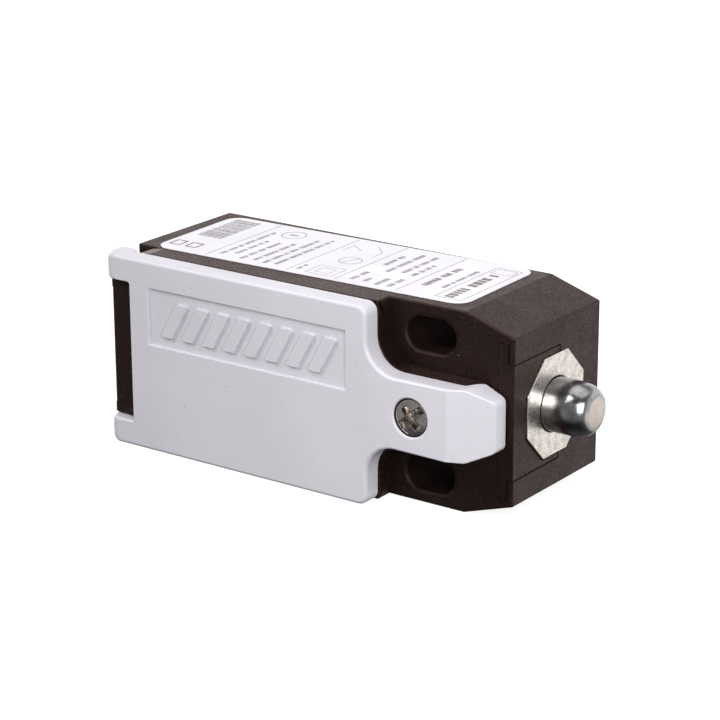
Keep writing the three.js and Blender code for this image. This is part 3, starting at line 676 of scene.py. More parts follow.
def head_recess():
    """What is missing in front of the fixing slots: all but the land that carries the tongue."""
    width = HALF_WIDTH + 1
    pocket = block("pocket", SHOULDER_X - 0.1, HEAD_END + 1, RIM_Y - 1, RECESS_Y, -width, width)
    land_corners = [(-30, -width), *inset_open(tongue_corners(0.8), 0.1), (-30, width)]
    land = prism("land", land_corners, "Y", RIM_Y - 2, RECESS_Y + 1, 10)
    ramp = [
        (LAND_TOP, RIM_Y - 3), (LAND_TOP, RIM_Y), (LAND_FOOT, RECESS_Y),
        (LAND_FOOT, RECESS_Y + 2), (20, RECESS_Y + 2), (20, RIM_Y - 3),
    ]
    return carve(pocket, carve(land, prism("ramp", ramp, "Z", -width, width)))


def inset_open(points, margin):
    """Like inset, for the tongue's corners, whose first and last run on to the left."""
    far = -40
    closed = [(far, -HALF_WIDTH), *points, (far, HALF_WIDTH)]
    return inset(closed, margin)[1:-1]


def hinge_bar():
    """The bar between the cover's lugs, a little lower between its two end pads."""
    pad_z, step = 9.2, 0.06

    def section(inwards):
        left = HOUSING.x0 + inwards
        front = BAR_FRONT + inwards
        return [
            (left, front, 0.6), (BAR_RIGHT - 0.6, front, 0.1), (BAR_RIGHT, front + 0.6, 0.2),
            (BAR_RIGHT, BAR_BACK), (CABLE_END + 0.5, BAR_BACK), (CABLE_END, BAR_BACK),
            (left, BAR_BACK - 1.3, 0.4),
        ]

    places = [(-BAR_Z, 0.12), (-BAR_Z + 0.12, 0), (-pad_z - 0.1, 0), (-pad_z, step)]
    places += [(-z, inwards) for z, inwards in reversed(places)]
    rings = [(z, outline(section(inwards), 8)) for z, inwards in places]
    return loft("bar", rings, "Z")


def hinge_notch(side):
    """Room for a lug of the cover to turn in, the shallow ramp beside it and the pivot hole."""
    outside, low = side * (HALF_WIDTH + 1), side * (HALF_WIDTH - RAMP_DROP)
    pocket = rectangle(CABLE_END - 2, POCKET_X, RIM_Y - 3, POCKET_Y)
    slope = [
        (POCKET_X - 0.1, outside), (POCKET_X - 0.1, low), (POCKET_X, low),
        (RAMP_X, side * HALF_WIDTH), (RAMP_X, outside),
    ]
    hole = rod(PIVOT_HOLE_R, side * (BAR_Z - 1.2), side * (BAR_Z + 1))
    return fuse(
        prism("notch", pocket, "Z", side * BAR_Z, outside),
        prism("ramp", slope, "Y", RIM_Y - 1, POCKET_Y),
        lathe("pivot hole", hole, "Z", HINGE_X, HINGE_Y, 40),
    )


def fixing_slot(side):
    """A slot through the housing, wider inside, with softened rims."""
    half, w = SLOT_LENGTH / 2, SLOT_WIDTH / 2
    z, m = side * SLOT_Z, SLOT_MARGIN
    rim, back_rim = 0.1, 0.3
    narrow = rectangle(-half, half, z - w, z + w, w - 0.001)
    wide = rectangle(-half - m, half + m, z - w - m, z + w + m, w + m - 0.01)
    mouth = [(y, outline(inset(narrow, -wider) if wider else narrow, 10)) for y, wider in (
        (RECESS_Y - 4, rim), (RECESS_Y, rim), (RECESS_Y + rim * 0.3, rim * 0.35),
        (RECESS_Y + rim, 0), (HOUSING.y1 - back_rim, 0),
        (HOUSING.y1, back_rim), (HOUSING.y1 + 1, back_rim),
    )]
    inside = prism("slot room", wide, "Y", RECESS_Y + SLOT_WALL, HOUSING.y1 - SLOT_WALL, 10)
    return fuse(loft("slot", mouth, "Y"), inside)


def cable_entry():
    """The bore for the gland, cut to the thread's outer size, with a bevelled mouth."""
    outside, inside, mouth = CABLE_END - 3, CAVITY_X0 + 1, 0.35
    profile = [
        (0, outside), (ENTRY_MAJOR + mouth, outside), (ENTRY_MAJOR + mouth, CABLE_END),
        (ENTRY_MAJOR, CABLE_END + mouth), (ENTRY_MAJOR, inside), (0, inside),
    ]
    return lathe("entry", profile, u=ENTRY_Y, segments=96)


def bush_seat():
    """Where the octagonal plate lies: a little larger than it, and a little off centre."""
    shape = octagon(BUSH_FLATS + 0.3, 0.35, AXIS_Y - 0.07, -0.08)
    return prism("bush seat", shape, "X", BUSH.x1 - BUSH_THICK - 0.15, HEAD_END + 1)


def insert_seats():
    """Room for the insert's middle and for its ears."""
    low, front = PLATE.x0 - 0.02, RECESS_Y - 1  # the insert touches the case on its left
    places = (
        (HEAD_END + 1, PLATE.y1, PLATE_Z),
        (PLATE_EAR_X + 0.3, PLATE_EAR_Y, PLATE.z1),
    )
    return [
        block("seat", low, right, front, back + SEAM, -half - SEAM, half + SEAM)
        for right, back, half in places
    ]


def cavities():
    """The room for the contact block, the ledge for the gasket and the bores of the head."""
    room = rectangle(CAVITY_X0, CAVITY_X1, -CAVITY_Z, CAVITY_Z, 1)
    ledge = [(u, v, 1.5) for u, v, _ in inset(room, -LEDGE_MARGIN)]
    return [
        prism("room", room, "Y", RIM_Y - 1, CAVITY_BACK),
        prism("ledge", ledge, "Y", RIM_Y - 1, LEDGE_Y),
        lathe("spring bore", rod(SPRING_BORE, SPRING_FLOOR, SLEEVE_ROOM + 1)),
        lathe("bush bore", rod(SLEEVE_BORE, SLEEVE_ROOM, HEAD_END + 1)),
        lathe("stem bore", rod(STEM_BORE, CAVITY_X1 - 1, SPRING_FLOOR + 1), segments=32),
        bush_seat(),
        *insert_seats(),
        lathe(
            "thread seat", rod(THREAD_SEAT_R, RIM_Y - 1, THREAD_SEAT_Y), "Y", COVER_SCREW.x, 0, 32
        ),
        cable_entry(),
    ]


def mould_marks():
    """Shallow round marks of the mould's ejector pins on the mounting face, and the gate."""
    spots = [(-46, 9), (-46, -9), (-12, 11.5), (-12, -11.5), (9.5, 0)]  # in X and Z
    radius, depth, gate_radius, gate_depth = 1.6, 0.12, 0.8, 0.25
    marks = [lathe("mark", rod(radius, -depth, 1), "Y", x, z, 40) for x, z in spots]
    return [*marks, lathe("gate", rod(gate_radius, -gate_depth, 1), "Y", -24, 0, 32)]


def boss(side):
    """A post for one of the contact block's screws, with its pilot hole."""
    top, foot, radius, pilot_radius = -5.5, -1.2, 2.4, 1.35
    x, z = BLOCK_SCREW_X, side * BLOCK_SCREW_Z
    post = lathe("post", rod(radius, top, CAVITY_BACK + 0.2), "Y", x, z, 40)
    return carve(post, lathe("pilot", rod(pilot_radius, top - 1, foot), "Y", x, z, 24))


def build_housing():
    shell = housing_body()
    fuse(shell, hinge_bar())
    carve(shell, head_recess(), hinge_notch(1), hinge_notch(-1), fixing_slot(1), fixing_slot(-1))
    carve(shell, *cavities(), *mould_marks())
    fuse(shell, boss(-1), boss(1))

    def outer(middle):
        near_plate = middle.x > PLATE.x0 - 0.3 and abs(middle.z) < PLATE.z1 + 0.3
        near_bush = middle.x > 12 and (middle.y - AXIS_Y) ** 2 + middle.z**2 < 75
        beside_seat = middle.x > HEAD_END - 0.01 and abs(middle.z) > PLATE_Z + SEAM + 0.05
        in_plate_seat = near_plate and middle.y < PLATE.y1 + 0.3 and not beside_seat
        on_bar = middle.x < CABLE_END - 0.01
        return not (in_plate_seat or near_bush or on_bar)

    round_edges(shell, 0.3, outer)
    finished(shell, "case", HOUSING_BLACK, "housing_plastic", "housing")
    # Paints a highlight on the ramp beside the hinge bar and shade inside the fixing slots.
    repaint(shell, housing_painted_light, RAMP_HIGHLIGHT, SLOT_SHADE_BLACK)


def housing_painted_light(spot, normal):
    """Which material a face of the housing takes: 1 is a painted highlight on the ramp beside the
    hinge bar, 2 is painted shade inside the fixing slots.
    """
    x, y, z = spot
    on_ramp = abs(z) > HALF_WIDTH - RAMP_DROP and POCKET_X - 0.2 < x < RAMP_X and y < POCKET_Y
    if on_ramp and 0.98 < abs(normal.z) < 0.9999:
        return 1
    reach = SLOT_WIDTH / 2 + SLOT_MARGIN + 0.1
    along = SLOT_LENGTH / 2 + SLOT_MARGIN + 0.1
    in_slot = abs(x) < along and abs(abs(z) - SLOT_Z) < reach and abs(z) < HALF_WIDTH - 0.1
    return 2 if in_slot and RECESS_Y + 0.3 < y < HOUSING.y1 - 0.4 else 0


def build_entry_thread():
    """The female thread of the cable entry, as a lining of the bore."""
    start, end = CABLE_END + 0.5, CAVITY_X0 + 0.6
    around, per_turn = 96, 12
    rows = int((end - start) / ENTRY_PITCH * per_turn)
    grid = []

    def add_ring(x, radii):
        spots = [(ENTRY_Y + r * c, r * s) for r, (c, s) in zip(radii, circle(1, around))]
        grid.append([placed(y, z, x, "X") for y, z in spots])

    for row in range(rows + 1):
        x = start + (end - start) * row / rows
        fade = min(1.0, (x - start) / 0.6, (end - x) / 0.6)
        phases = [((x - start) / ENTRY_PITCH + i / around) % 1.0 for i in range(around)]
        heights = [max(0.0, min(1.0, 2.6 * abs(phase - 0.5) - 0.15)) for phase in phases]
        depth = (ENTRY_MAJOR - ENTRY_MINOR) * fade
        add_ring(x, [ENTRY_MAJOR - depth * (1 - height) for height in heights])
    for x in (end, start):
        add_ring(x, [ENTRY_MAJOR + 0.2] * around)
    piece = from_bmesh("entry_thread", add_skin(bmesh.new(), grid, closed=True))
    finished(piece, "case", HOUSING_BLACK, "housing_plastic", turned=True)


# ---------------- cover


def cover_plate():
    """The plate with its tongue and lugs: rounded all round its front, rolled over at the left."""
    roll, fillet, lug = 2.1, 0.6, 1.1
    depth_of_plate = PLATE_BACK - COVER.y0

    def ring(depth, margin):
        inwards = roll - math.sqrt(roll**2 - (roll - depth) ** 2) if depth < roll else 0.0
        left = COVER.x0 + max(inwards, margin * 0.5)
        right = NOTCH_X + 0.5 * margin
        notch = NOTCH_Z + 0.5 * margin
        shoulders = inset_open(tongue_corners(), margin)
        corners = inset_open(tongue_corners(), margin * TIP_SHARPNESS)
        corners[:2], corners[-2:] = shoulders[:2], shoulders[-2:]
        top = HALF_WIDTH - margin
        soft = max(lug - 0.6 * margin, 0.3)
        full = [
            (left, -top, soft), *corners, (left, top, soft),
            (left, notch, 0.7), (right, notch, 0.45), (right, -notch, 0.45), (left, -notch, 0.7),
        ]
        return COVER.y0 + depth, outline(full, 8)

    rings = [ring(depth, margin) for depth, margin in fillet_steps(fillet, 6)]
    rings += [ring(depth, 0.0) for depth in (1.3, 1.8, 2.4, depth_of_plate)]
    return bend_tongue(loft("cover_shell", rings, "Y"), fillet)


def bend_tongue(piece, fillet):
    """Slopes the tongue's end from the crease on, and thickens it down to the recess."""
    slope = (TONGUE_TIP_Y - COVER.y0) / (TONGUE_TIP - TONGUE_CREASE)
    gap = 0.35
    foot = RECESS_Y - gap
    top, end = LAND_TOP + gap, LAND_FOOT + gap
    with edited(piece) as mesh:
        for x in (TONGUE_CREASE, top, end):
            bmesh.ops.bisect_plane(
                mesh, geom=[*mesh.verts, *mesh.edges, *mesh.faces], dist=1e-7,
                plane_co=Vector((x, 0, 0)) * MM, plane_no=(1, 0, 0),
            )
        for vert in mesh.verts:
            x, depth = vert.co.x / MM, vert.co.y / MM - COVER.y0
            if x <= TONGUE_CREASE:
                continue
            front = COVER.y0 + slope * (x - TONGUE_CREASE)
            back = PLATE_BACK + (foot - PLATE_BACK) * min(1, max(0, (x - top) / (end - top)))
            share = max(0, (depth - fillet) / (PLATE_BACK - COVER.y0 - fillet))
            thinner = (1 - TIP_SHARPNESS) * min(1, (x - TONGUE_CREASE) / 2)
            edge = min(depth, fillet) * (1 - thinner)
            vert.co.y = (front + edge + share * (back - front - edge)) * MM
    return piece


def lug_ear(side):
    """A lug's ear: a rounded knuckle beside the hinge bar, with its pivot pin."""
    root = PLATE_BACK - 0.8
    section = [(COVER.x0, root), (EAR_X, root), (EAR_X, EAR_Y, EAR_R), (COVER.x0, EAR_Y, EAR_R)]
    ear = slab("ear", section, "Z", side * NOTCH_Z, side * HALF_WIDTH, 0.25, 0.5)
    tip, foot, bevel = BAR_Z - 0.9, NOTCH_Z + 1, 0.2
    pin = [(0, tip), (PIVOT_R - bevel, tip), (PIVOT_R, tip + bevel), (PIVOT_R, foot), (0, foot)]
    pin = [(radius, side * along) for radius, along in pin]
    return fuse(ear, lathe("pin", pin, "Z", HINGE_X, HINGE_Y, 32))


def cover_skirt():
    """The locating frame on the cover's inner face, with ribs across it."""
    gap, wall, end = 0.4, 1.2, -23.6
    x0, x1, z = CAVITY_X0 + gap, CAVITY_X1 - gap, CAVITY_Z - gap
    root = PLATE_BACK - 0.3
    frame_piece = prism("skirt", rectangle(x0, x1, -z, z, 1), "Y", root, end)
    inner = rectangle(x0 + wall, x1 - wall, -z + wall, z - wall, 0.5)
    carve(frame_piece, prism("skirt room", inner, "Y", root - 1, end + 1))
    ribs = [block("rib", x - 0.4, x + 0.4, root, -25.1, -z, z) for x in (-40, -29.5, -19)]
    ribs.append(block("rib", x0, x1, root, -25.1, -0.4, 0.4))
    return fuse(frame_piece, *ribs)


def screw_hole():
    """The counterbored hole for the cover screw, with a soft rim."""
    seat, radius, front = SCREW_SEAT + 0.1, SCREW_HOLE_R, COVER.y0
    rim = 0.35
    flare = [(radius + margin, front + depth) for depth, margin in fillet_steps(rim, 6)]
    profile = [(0, front - 1), (radius + rim, front - 1), *flare, (radius, seat)]
    profile += [(SCREW_SHANK_R, seat), (SCREW_SHANK_R, PLATE_BACK + 4), (0, PLATE_BACK + 4)]
    return lathe("screw hole", profile, "Y", COVER_SCREW.x, 0, 72)


def panel_recess():
    """The sunk panel, with a slight draft on its walls."""
    draft = 0.12
    corners = rectangle(-47.1, -10.5, 1.9, 10.9, 0.12)
    places = ((-1, -draft * 0.2), (0, -draft * 0.2), (PANEL_DEPTH, draft))
    rings = [(COVER.y0 + depth, outline(inset(corners, m), 3)) for depth, m in places]
    return loft("panel", rings, "Y")


def panel_relief():
    """A plain raised pattern in the panel: a row of leaning bars."""
    floor = COVER.y0 + PANEL_DEPTH
    height, lean, thick, pitch, first, count = 0.38, 1.6, 2.3, 3.9, -43.2, 8
    low, high, soft = 3.6, 9.2, 0.3
    made = []
    for index in range(count):
        x = first + index * pitch
        corners = [
            (x - lean, low, soft), (x + thick - lean, low, soft),
            (x + thick + lean, high, soft), (x + lean, high, soft),
        ]
        made.append(slab("bar", corners, "Y", floor - height, floor + 0.3, 0.1, 0.02, 4))
    return made


def build_cover():
    shell = cover_plate()
    fuse(shell, lug_ear(1), lug_ear(-1), cover_skirt())
    carve(shell, screw_hole(), panel_recess())
    fuse(shell, *panel_relief())

    def on_back(middle):
        return middle.y > PLATE_BACK - 0.2 and not middle.x > TONGUE_CREASE

    round_edges(shell, 0.12, on_back, steps=4)
    finished(shell, "cover", COVER_GREY, "cover_plastic", "front_cover", smooth_below=25)

    def in_screw_hole(middle, _):
        beside = math.hypot(middle.x - COVER_SCREW.x, middle.z) < SCREW_HOLE_R + 0.01
        return beside and COVER.y0 + 0.3 < middle.y < PLATE_BACK - 0.1

    # Painted shadow on the counterbore's wall round the screw head.
    repaint(shell, in_screw_hole, SCREW_GAP_SHADE)


def build_gasket():
    lip_y = (RIM_Y + 0.1 + LEDGE_Y - 0.1) / 2
    outer, inner = LEDGE_MARGIN - 0.2, 0.02

    def corners(m):
        return rectangle(CAVITY_X0 - m, CAVITY_X1 + m, -CAVITY_Z - m, CAVITY_Z + m, 1.2)

    ring = slab("gasket_ring", corners(outer), "Y", RIM_Y + 0.1, LEDGE_Y - 0.1, 0.25, 0.25)
    carve(ring, prism("inside", corners(-inner), "Y", RIM_Y - 1, LEDGE_Y + 1))
    groove = prism("groove", corners(outer + 1), "Y", lip_y - 0.12, lip_y + 0.12)
    carve(groove, prism("kept", corners(outer - 0.15), "Y", lip_y - 1, lip_y + 1))
    carve(ring, groove)
    finished(ring, "case", RUBBER, "seal_rubber", "cover_gasket")


# ---------------- head


def build_head_plate():
    """The insert that closes the head's end: a middle that reaches far back, and two ears."""
    low, front = PLATE.x0, RECESS_Y
    plate = block("head_insert", low, HEAD_END, front, PLATE.y1, -PLATE_Z, PLATE_Z)
    ears = block("ears", low, PLATE_EAR_X, front, PLATE_EAR_Y, -PLATE.z1, PLATE.z1)
    fuse(plate, ears)
    carve(plate, lathe("bore", rod(SLEEVE_BORE, low - 1, HEAD_END + 1)), bush_seat())
    round_edges(plate, 0.12, steps=2)
    finished(plate, "case", HOUSING_BLACK, "housing_plastic", "head_plate")


def build_bush():
    """The octagonal plate and the sleeve behind it, with the seal's room in its back."""
    back, face, lip, joint = BUSH.x0, BUSH.x1, 0.08, BUSH.x1 - 0.6
    outer, seal_room, inner = SLEEVE_BORE - 0.2, 4.75, PIN_BORE
    plate = slab(
        "bush_casting", octagon(BUSH_FLATS, 0.3), "X", face, face - BUSH_THICK, 0.1, 0.05, 4
    )
    sleeve = lathe("sleeve", [
        (0, back), (outer - 0.3, back), (outer, back + 0.3), (outer, joint), (0, joint),
    ])
    bore = lathe("bore", [
        (0, back - 1), (seal_room, back - 1), (seal_room, SEAL_END + 0.2),
        (inner, SEAL_END + 0.2), (inner, face - 0.3), (inner + lip, face - lip),
        (inner + 3 * lip, face), (inner + 3 * lip, face + 1), (0, face + 1),
    ], segments=72)
    carve(fuse(plate, sleeve), bore)
    finished(plate, "case", ZINC, "zinc_casting", "guide_bush")


def build_plunger():
    """The pin: a domed shoulder down to a flat tip, a clip groove and a thin stem."""
    tip, steps, stem, foot, collar, shoulder = PIN.x1, 18, 2.0, 2.0, 3.6, 4.1
    dome = []
    for i in range(steps):
        t = math.pi / 2 * i / steps
        across = PIN_TIP_R + (PIN_R - PIN_TIP_R) * math.cos(t) ** 0.8
        dome.append((across, PIN_DOME + (tip - 0.04 - PIN_DOME) * math.sin(t) ** 1.1))
    profile = [
        (0, PIN.x0), (stem - 0.4, PIN.x0), (stem, PIN.x0 + 0.4), (stem, foot),
        (collar - 0.2, foot), (collar, foot + 0.2), (collar, foot + 0.5),
        (CLIP_GROOVE_R, foot + 0.5), (CLIP_GROOVE_R, shoulder), (PIN_R - 0.1, shoulder),
        (PIN_R, shoulder + 0.1),
        *[(PIN_R, x) for x in (7, 10, 13)], *dome, (PIN_TIP_R, tip - 0.03),
        (PIN_TIP_R - 0.08, tip), (0, tip),
    ]
    pin = lathe("plunger_pin", profile, segments=96)
    finished(pin, "plunger", STEEL, "plunger_steel", "plunger", turned=True)
    repaint(pin, lambda middle, _: middle.x > tip - 0.02, FLAT_TIP)
    clip = lathe("plunger_ring", tube(CLIP_GROOVE_R + 0.15, 5.0, 2.85, 3.85, 0.12), segments=72)
    carve(clip, block("mouth", 1, 6, AXIS_Y - 10, AXIS_Y - 1.7, -1.4, 1.4))
    finished(clip, "plunger", SPRING_STEEL, "spring_steel", "plunger_clip", turned=True)


def build_seal():
    """A ring with a round wiping lip in the middle of its bore."""
    start, end, middle, outer, inner = SEAL_START, SEAL_END, 5.6, 4.65, 4.2
    half_lip = [(4.32, 0.5), (4.35, 0.3), (4.16, 0.12)]
    profile = [(inner, start), (outer, start), (outer, end), (inner, end)]
    profile += [(radius, middle + along) for radius, along in half_lip]
    profile += [(PIN_BORE, middle)]
    profile += [(radius, middle - along) for radius, along in reversed(half_lip)]
    seal = lathe("wiper_seal", profile, segments=72)
    finished(seal, "case", RUBBER, "seal_rubber", "plunger_seal", turned=True)


def cross_recess(x, z, front, head_radius, turned):
    """A slot with a shorter cross arm over it, as a cutting tool on a head that faces -Y."""
    width, depth, taper = 0.45 * head_radius, 0.37 * head_radius, 0.06
    slot, cross, middle = 1.8 * head_radius, 1.37 * head_radius, 0.58 * head_radius
    made = []
    for length, across, deep in (
        (slot, width, depth), (width, cross, depth * 1.1), (middle, middle, depth * 1.4),
    ):
        corners = rectangle(-length / 2, length / 2, -across / 2, across / 2, 0.08)
        rings = [(front - 1, outline(corners)), (front + deep, outline(inset(corners, taper)))]
        made.append(loft("arm", rings, "Y"))
    tool = fuse(made[0], *made[1:])
    tool.data.transform(Matrix.Rotation(math.radians(turned), 4, "Y"))
    tool.data.transform(Matrix.Translation(Vector((x, 0, z)) * MM))
    return tool


def thread_profile(radius, depth, start, end, pitch):
    """Points of a threaded stretch: a V groove for each turn."""
    turns = int(abs(end - start) / pitch)
    step = (end - start) / turns
    made = []
    for turn in range(turns):
        along = start + turn * step
        made += [(radius, along + step * 0.1), (radius - depth, along + step * 0.5),
                 (radius, along + step * 0.9)]
    return made


def pan_screw(name, x, z, heights, head_radius, radius, turned, crown):
    """A pan-head screw along Y: heights are its head's front, the seat and the shank's end."""
    front, seat, end = heights
    edge, steps = 0.12, 10
    dome = [(head_radius, front + crown + edge)]
    for i in range(steps):
        share = 1 - i / steps
        dome.append(((head_radius - edge) * share, front + crown * share**2))
    thread = thread_profile(radius, 0.22, seat + 0.8, end - 0.5, 0.55)
    profile = [
        (0, end), (radius - 0.5, end), *reversed(thread), (radius, seat),
        (head_radius - 0.1, seat), (head_radius, seat - 0.12), *dome, (0, front),
    ]
    screw = lathe(name, profile, "Y", x, z, 64)
    carve(screw, cross_recess(x, z, front, head_radius, turned))
    return round_edges(screw, 0.05, lambda middle: middle.y < seat - 0.2, 2, 45)


def build_cover_screw():
    """The captive screw, its recess browner than its head."""
    front, crown, skin = COVER_SCREW.y0 - 0.28, 0.3, 0.06
    heights = front, SCREW_SEAT, COVER_SCREW.y1
    screw = pan_screw("captive_screw", COVER_SCREW.x, 0, heights, SCREW_R, 1.2, -40, crown)
    finished(screw, "cover", NICKEL, "screw_nickel", "cover_screw", turned=True)

    def in_recess(middle, _):
        across = math.hypot(middle.x - COVER_SCREW.x, middle.z) / SCREW_R
        surface = front + crown * across**2
        return across < 0.93 and surface + skin < middle.y < SCREW_SEAT - 0.2

    repaint(screw, in_recess, RECESS_BROWN)


# ---------------- label


def build_label():
    """The sticker with rounded corners, and its print as a separate thin piece."""
    length, width, skew, ink_height = 55.2, 20.4, 1.5, 0.012
    low, top = LABEL.z0, LABEL.z1 - ink_height
    turn = Matrix.Translation(Vector((LABEL.x + 0.2, LABEL.y, 0)) * MM) @ Matrix.Rotation(
        math.radians(skew), 4, "Z"
    )
    corners = rectangle(-length / 2, length / 2, -width / 2, width / 2, 2.5)
    film = slab("label_sheet", corners, "Z", top, low, 0.05, 0.02, 10)
    film.data.transform(turn)
    finished(film, "case", LABEL_FILM, "label_film", "rating_label")

    fine, bold = label_print()
    for name, marks, ink_used in (
        ("label_print", fine, LABEL_INK), ("label_marks", bold, LABEL_BOLD),
    ):
        mesh = bmesh.new()
        for corners in marks:
            heights = (top - 0.02, top + ink_height)
            add_skin(mesh, [[placed(u, v, z, "Z") for u, v in corners] for z in heights])
        piece = from_bmesh(name, mesh)
        piece.data.transform(turn)
        piece.data.materials.append(ink_used)
        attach(piece, "case")


def stroke(a, b, width):
    """A straight line of ink between two points."""
    a, b = Vector(a), Vector(b)
    side = Vector((a.y - b.y, b.x - a.x)).normalized() * width / 2
    return [tuple(a + side), tuple(b + side), tuple(b - side), tuple(a - side)]


def ring_strokes(u, v, radius, width):
    """A circle of ink, as short strokes."""
    return closed_strokes(circle(radius, 32, u, v), width)


def box_strokes(u0, u1, v0, v1, width):
    return closed_strokes(rectangle(u0, u1, v0, v1), width)


def closed_strokes(spots, width):
    return [stroke(a, b, width) for a, b in zip(spots, spots[1:] + spots[:1])]


def filler_text(u, v0, v1, height, rng):
    """A row of plain dashes in uneven groups that stands for a line of small print."""
    made = []
    v = v0
    while v < v1 - 0.5:
        for _ in range(rng.randint(2, 6)):
            wide = rng.uniform(0.32, 0.62) * height
            if v + wide > v1:
                break
            made.append(rectangle(u - 0.4 * height, u + 0.4 * height, v, v + wide))
            v += wide + 0.16 * height
        v += 0.5 * height
    return made


def label_print():
    """The label's fine and bold print. u runs along the switch towards the head, v across it."""
    rng = random.Random(7)
    fine = label_rules() + filler_text(20.8, -4.8, 5.4, 0.8, rng)
    for u, spans in (
        (13.9, ((-8.6, -4.2), (-2.2, 4.4))), (11.9, ((-8.8, -5.0), (-1.6, 8.4))),
        (9.6, ((-8.2, -6.4), (-2.4, 8.0))), (7.4, ((-8.4, -3.6), (0.4, 6.2))),
    ):
        for v0, v1 in spans:
            fine += filler_text(u, v0, v1, 1.0, rng)
    fine += label_symbols() + filler_text(-2.2, -8.4, -5.8, 0.8, rng)
    for u, v0, v1 in (
        (-6.3, -8.2, 7.2), (-8.2, -8.6, 6.0), (-10.2, -8.2, 3.0), (-12.4, -8.6, 2.4),
        (-14.6, -6.8, 1.6), (-16.5, -8.0, 6.4),
    ):
        fine += filler_text(u, v0, v1, 0.85, rng)
    fine += ring_strokes(-13.2, 6.2, 1.9, 0.16) + [rectangle(-14.0, -12.4, 5.9, 6.5)]
    fine += stripes(-26.0, -21.4, -1.6, 8.8, rng)
    bold = filler_text(23.9, -8.2, 5.0, 1.9, rng) + filler_text(17.9, -5.2, 5.2, 1.3, rng)
    for u in (-25.6, -22.6):
        bold += box_strokes(u - 0.9, u + 0.9, -7.7, -5.5, 0.32)
    return fine, bold


def label_rules():
    """The lines across the label and the frames at its head end."""
    rule, half = 0.13, 9.7
    lines = [rectangle(u - rule / 2, u + rule / 2, -half, half) for u in (15.8, 5.3, -3.35, -18.2)]
    return lines + box_strokes(22.0, 26.4, -8.7, 8.1, 0.12) + box_strokes(22.6, 25.9, 5.4, 7.6, 0.1)


def label_symbols():
    """Plain shapes where the label has its symbols: a struck ring, nested boxes, two contacts."""
    thin = 0.12
    ring = ring_strokes(1.95, -0.6, 1.75, 0.14) + [stroke((1.2, -1.9), (2.6, 0.8), 0.14)]
    boxes = box_strokes(-0.4, 4.2, -9.0, -4.9, 0.1) + box_strokes(0.7, 3.1, -8.0, -5.8, 0.1)
    contacts = [
        stroke((-2.2, 3.4), (-2.2, 6.6), thin), stroke((3.6, 3.2), (3.6, 5.4), thin),
        stroke((3.6, 5.4), (1.2, 8.0), thin), stroke((-2.2, 6.6), (0.4, 4.6), thin),
    ]
    return ring + boxes + contacts


def stripes(u0, u1, v, end, rng):
    """A patch of uneven stripes."""
    made = []
    while v < end:
        wide = rng.choice((0.12, 0.2, 0.32))
        made.append(rectangle(u0, u1, v, v + wide))
        v += wide + rng.choice((0.16, 0.28))
    return made


# ---------------- inside


def coil_points(room, radius, turns, wire, per_turn=28):
    """A helix along X through the room of its CAD node, with close turns at its ends."""
    made = []
    count = int(turns * per_turn)
    for i in range(count + 1):
        t = i / count
        rise = (t * t * (3 - 2 * t)) * 0.35 + t * 0.65
        angle = 2 * math.pi * turns * t
        x = room.x0 + wire / 2 + (room.x1 - room.x0 - wire) * rise
        y, z = room.y + radius * math.cos(angle), room.z + radius * math.sin(angle)
        made.append(Vector((x, y, z)))
    return made


def build_springs():
    """Every coil spring, with the joint that shortens it and by how much; the coils are not
    shortened here.
    """
    springs = [
        ("return_spring", "return_coil", 3.05, 0.8, 5, "case", "plunger_slide", 5.0),
        ("slider_spring", "slider_coil", 1.3, 0.45, 7, "case", "slider_slide", 5.0),
        ("snap_spring", "snap_coil", 1.7, 0.45, 4, "carrier", "carrier_slide", 3.0),
        ("bridge_spring_nc", "bridge_coil_nc", 1.2, 0.4, 4, "carrier", None, 0.0),
        ("bridge_spring_no", "bridge_coil_no", 1.2, 0.4, 4, "carrier", None, 0.0),
    ]
    for node, name, radius, wire, turns, body, joint, travel in springs:
        room = Extent(node)
        coil = swept_wire(name, coil_points(room, radius, turns, wire), wire / 2)
        finished(coil, body, SPRING_STEEL, "spring_steel", node, turned=True)
        if joint:
            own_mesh(coil)


def build_small_screws():
    """The terminal screws and the screws of the contact block, each turned differently."""
    nodes = [f"terminal_screw_{name}" for name in TERMINALS] + ["block_screw_a", "block_screw_b"]
    for index, node in enumerate(nodes):
        room = Extent(node)
        head = (room.x1 - room.x0) / 2
        terminal = node.startswith("terminal")
        height, radius = (1.9, 1.55) if terminal else (1.5, 1.1)
        heights = room.y0, room.y0 + height, room.y1
        name = node.replace("screw", "bolt")
        screw = pan_screw(name, room.x, room.z, heights, head, radius, 17 + 50 * index, 0.5)
        finished(screw, "case", NICKEL, "screw_nickel", node, turned=True)


def dress_block():
    """The parts inside that keep their CAD shape."""
    for node, material, radius in (
        ("contact_base", BLOCK_GREY, 0.2), ("contact_shield", SHIELD_CREAM, 0.15),
        ("drive_slider", SLIDER_RED, 0.2), ("contact_carrier", CARRIER_IVORY, 0.12),
        ("screw_insert", BRASS, 0.1), ("bridge_nc", BRASS, 0.08), ("bridge_no", BRASS, 0.08),
    ):
        dress(node, material, radius)
    for name in TERMINALS:
        dress(f"terminal_{name}", BRASS, 0.1)
        dress(f"clamp_{name}", NICKEL, 0.1)


# ---------------- stage


def build_stage():
    """A pale floor under the switch."""
    mesh = bmesh.new()
    gap = 0.02
    bmesh.ops.create_circle(mesh, cap_ends=True, radius=4.0, segments=96)
    for vert in mesh.verts:
        vert.co.z = (COVER.z0 - gap) * MM
    floor = from_bmesh("floor", mesh)
    s = Shader("floor")
    s.put(s.surface, Base_Color=(0.4, 0.4, 0.4, 1.0), Roughness=0.9, Specular_IOR_Level=0.1)
    s.put(s.surface, Emission_Color=(1.0, 1.0, 1.0, 1.0), Emission_Strength=0.85)
    floor.data.materials.append(s.material)
    floor.visible_glossy = False
    floor.visible_diffuse = False


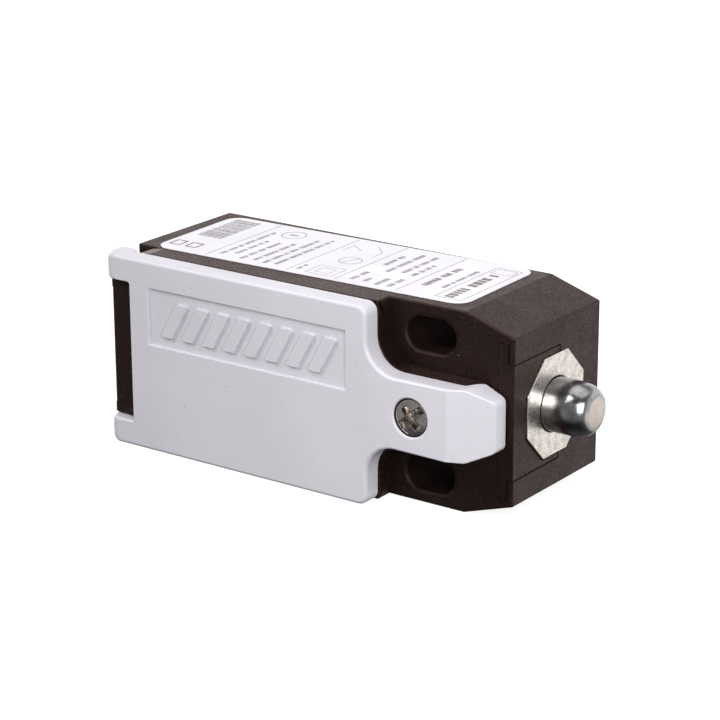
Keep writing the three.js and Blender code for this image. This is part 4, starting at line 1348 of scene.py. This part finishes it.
def softbox(name, place, target, side, watts):
    """A square soft light that the camera doesn't see."""
    light = bpy.data.lights.new(name, "AREA")
    light.shape, light.size, light.size_y = "RECTANGLE", side, side
    light.energy = watts
    lamp = bpy.data.objects.new(name, light)
    lamp.location = place
    lamp.rotation_euler = (Vector(target) - Vector(place)).to_track_quat("-Z", "Y").to_euler()
    lamp.visible_camera = False
    bpy.context.scene.collection.objects.link(lamp)


def build_world():
    """Soft surroundings: a bright backdrop behind, a dimmer room on the camera's side."""
    s = Shader("studio", bpy.data.worlds, "Background", "Generated")
    direction = s.put(s.add("ShaderNodeSeparateXYZ"), Vector=s.coordinates)

    def ramp(axis, low, high, to_low, to_high):
        along = direction.outputs[axis]
        return s.ranged(along, low, high, to_low, to_high, interpolation_type="SMOOTHSTEP")

    across = ramp("Y", -0.5, 0.45, 0.26, 1.15)
    above = ramp("Z", 0.5, 0.7, 1.0, 0.45)
    below = ramp("Z", -0.75, -0.3, 0.08, 1.0)
    level = s.math("MULTIPLY", s.math("MULTIPLY", across, above), below)
    s.put(s.surface, Color=(1.0, 1.0, 1.0, 1.0), Strength=level)
    s.material.cycles.sampling_method = "NONE"
    bpy.context.scene.world = s.material


def build_lights():
    centre = (-0.018, -0.014, 0.0)
    softbox("key", (-0.45, -0.55, 0.75), centre, 0.45, 6.0)
    softbox("fill", (0.13, -0.165, 0.08), (0.0, -0.014, 0.0), 0.13, 0.41)
    softbox("overhead", (0.0, 0.1, 1.0), centre, 0.9, 2.3)
    bpy.context.scene.view_settings.view_transform = "Standard"


def build_camera():
    """The photograph's viewpoint: azimuth from the cover's normal towards the plunger."""
    azimuth, elevation, roll = (math.radians(v) for v in (35.82, 18.33, -0.23))
    back = Vector((
        math.sin(azimuth) * math.cos(elevation),
        -math.cos(azimuth) * math.cos(elevation),
        math.sin(elevation),
    ))
    right = Vector((0, 0, 1)).cross(back).normalized()
    up = back.cross(right)
    tilted_right = math.cos(roll) * right + math.sin(roll) * up
    tilted_up = math.cos(roll) * up - math.sin(roll) * right
    turn = Matrix((tilted_right, tilted_up, back)).transposed().to_4x4()
    data = bpy.data.cameras.new("camera")
    data.lens, data.sensor_width = 125.7, 36.0
    data.clip_start, data.clip_end = 0.01, 20.0
    camera = bpy.data.objects.new("camera", data)
    camera.matrix_world = Matrix.Translation(Vector((188.85, -301.66, 118.37)) * MM) @ turn
    bpy.context.scene.collection.objects.link(camera)
    bpy.context.scene.camera = camera


for build in (
    build_camera, build_stage, build_world, build_lights, build_housing, build_entry_thread,
    build_cover, build_gasket, build_head_plate, build_bush, build_plunger, build_seal,
    build_cover_screw, build_label, build_springs, build_small_screws, dress_block,
):
    build()
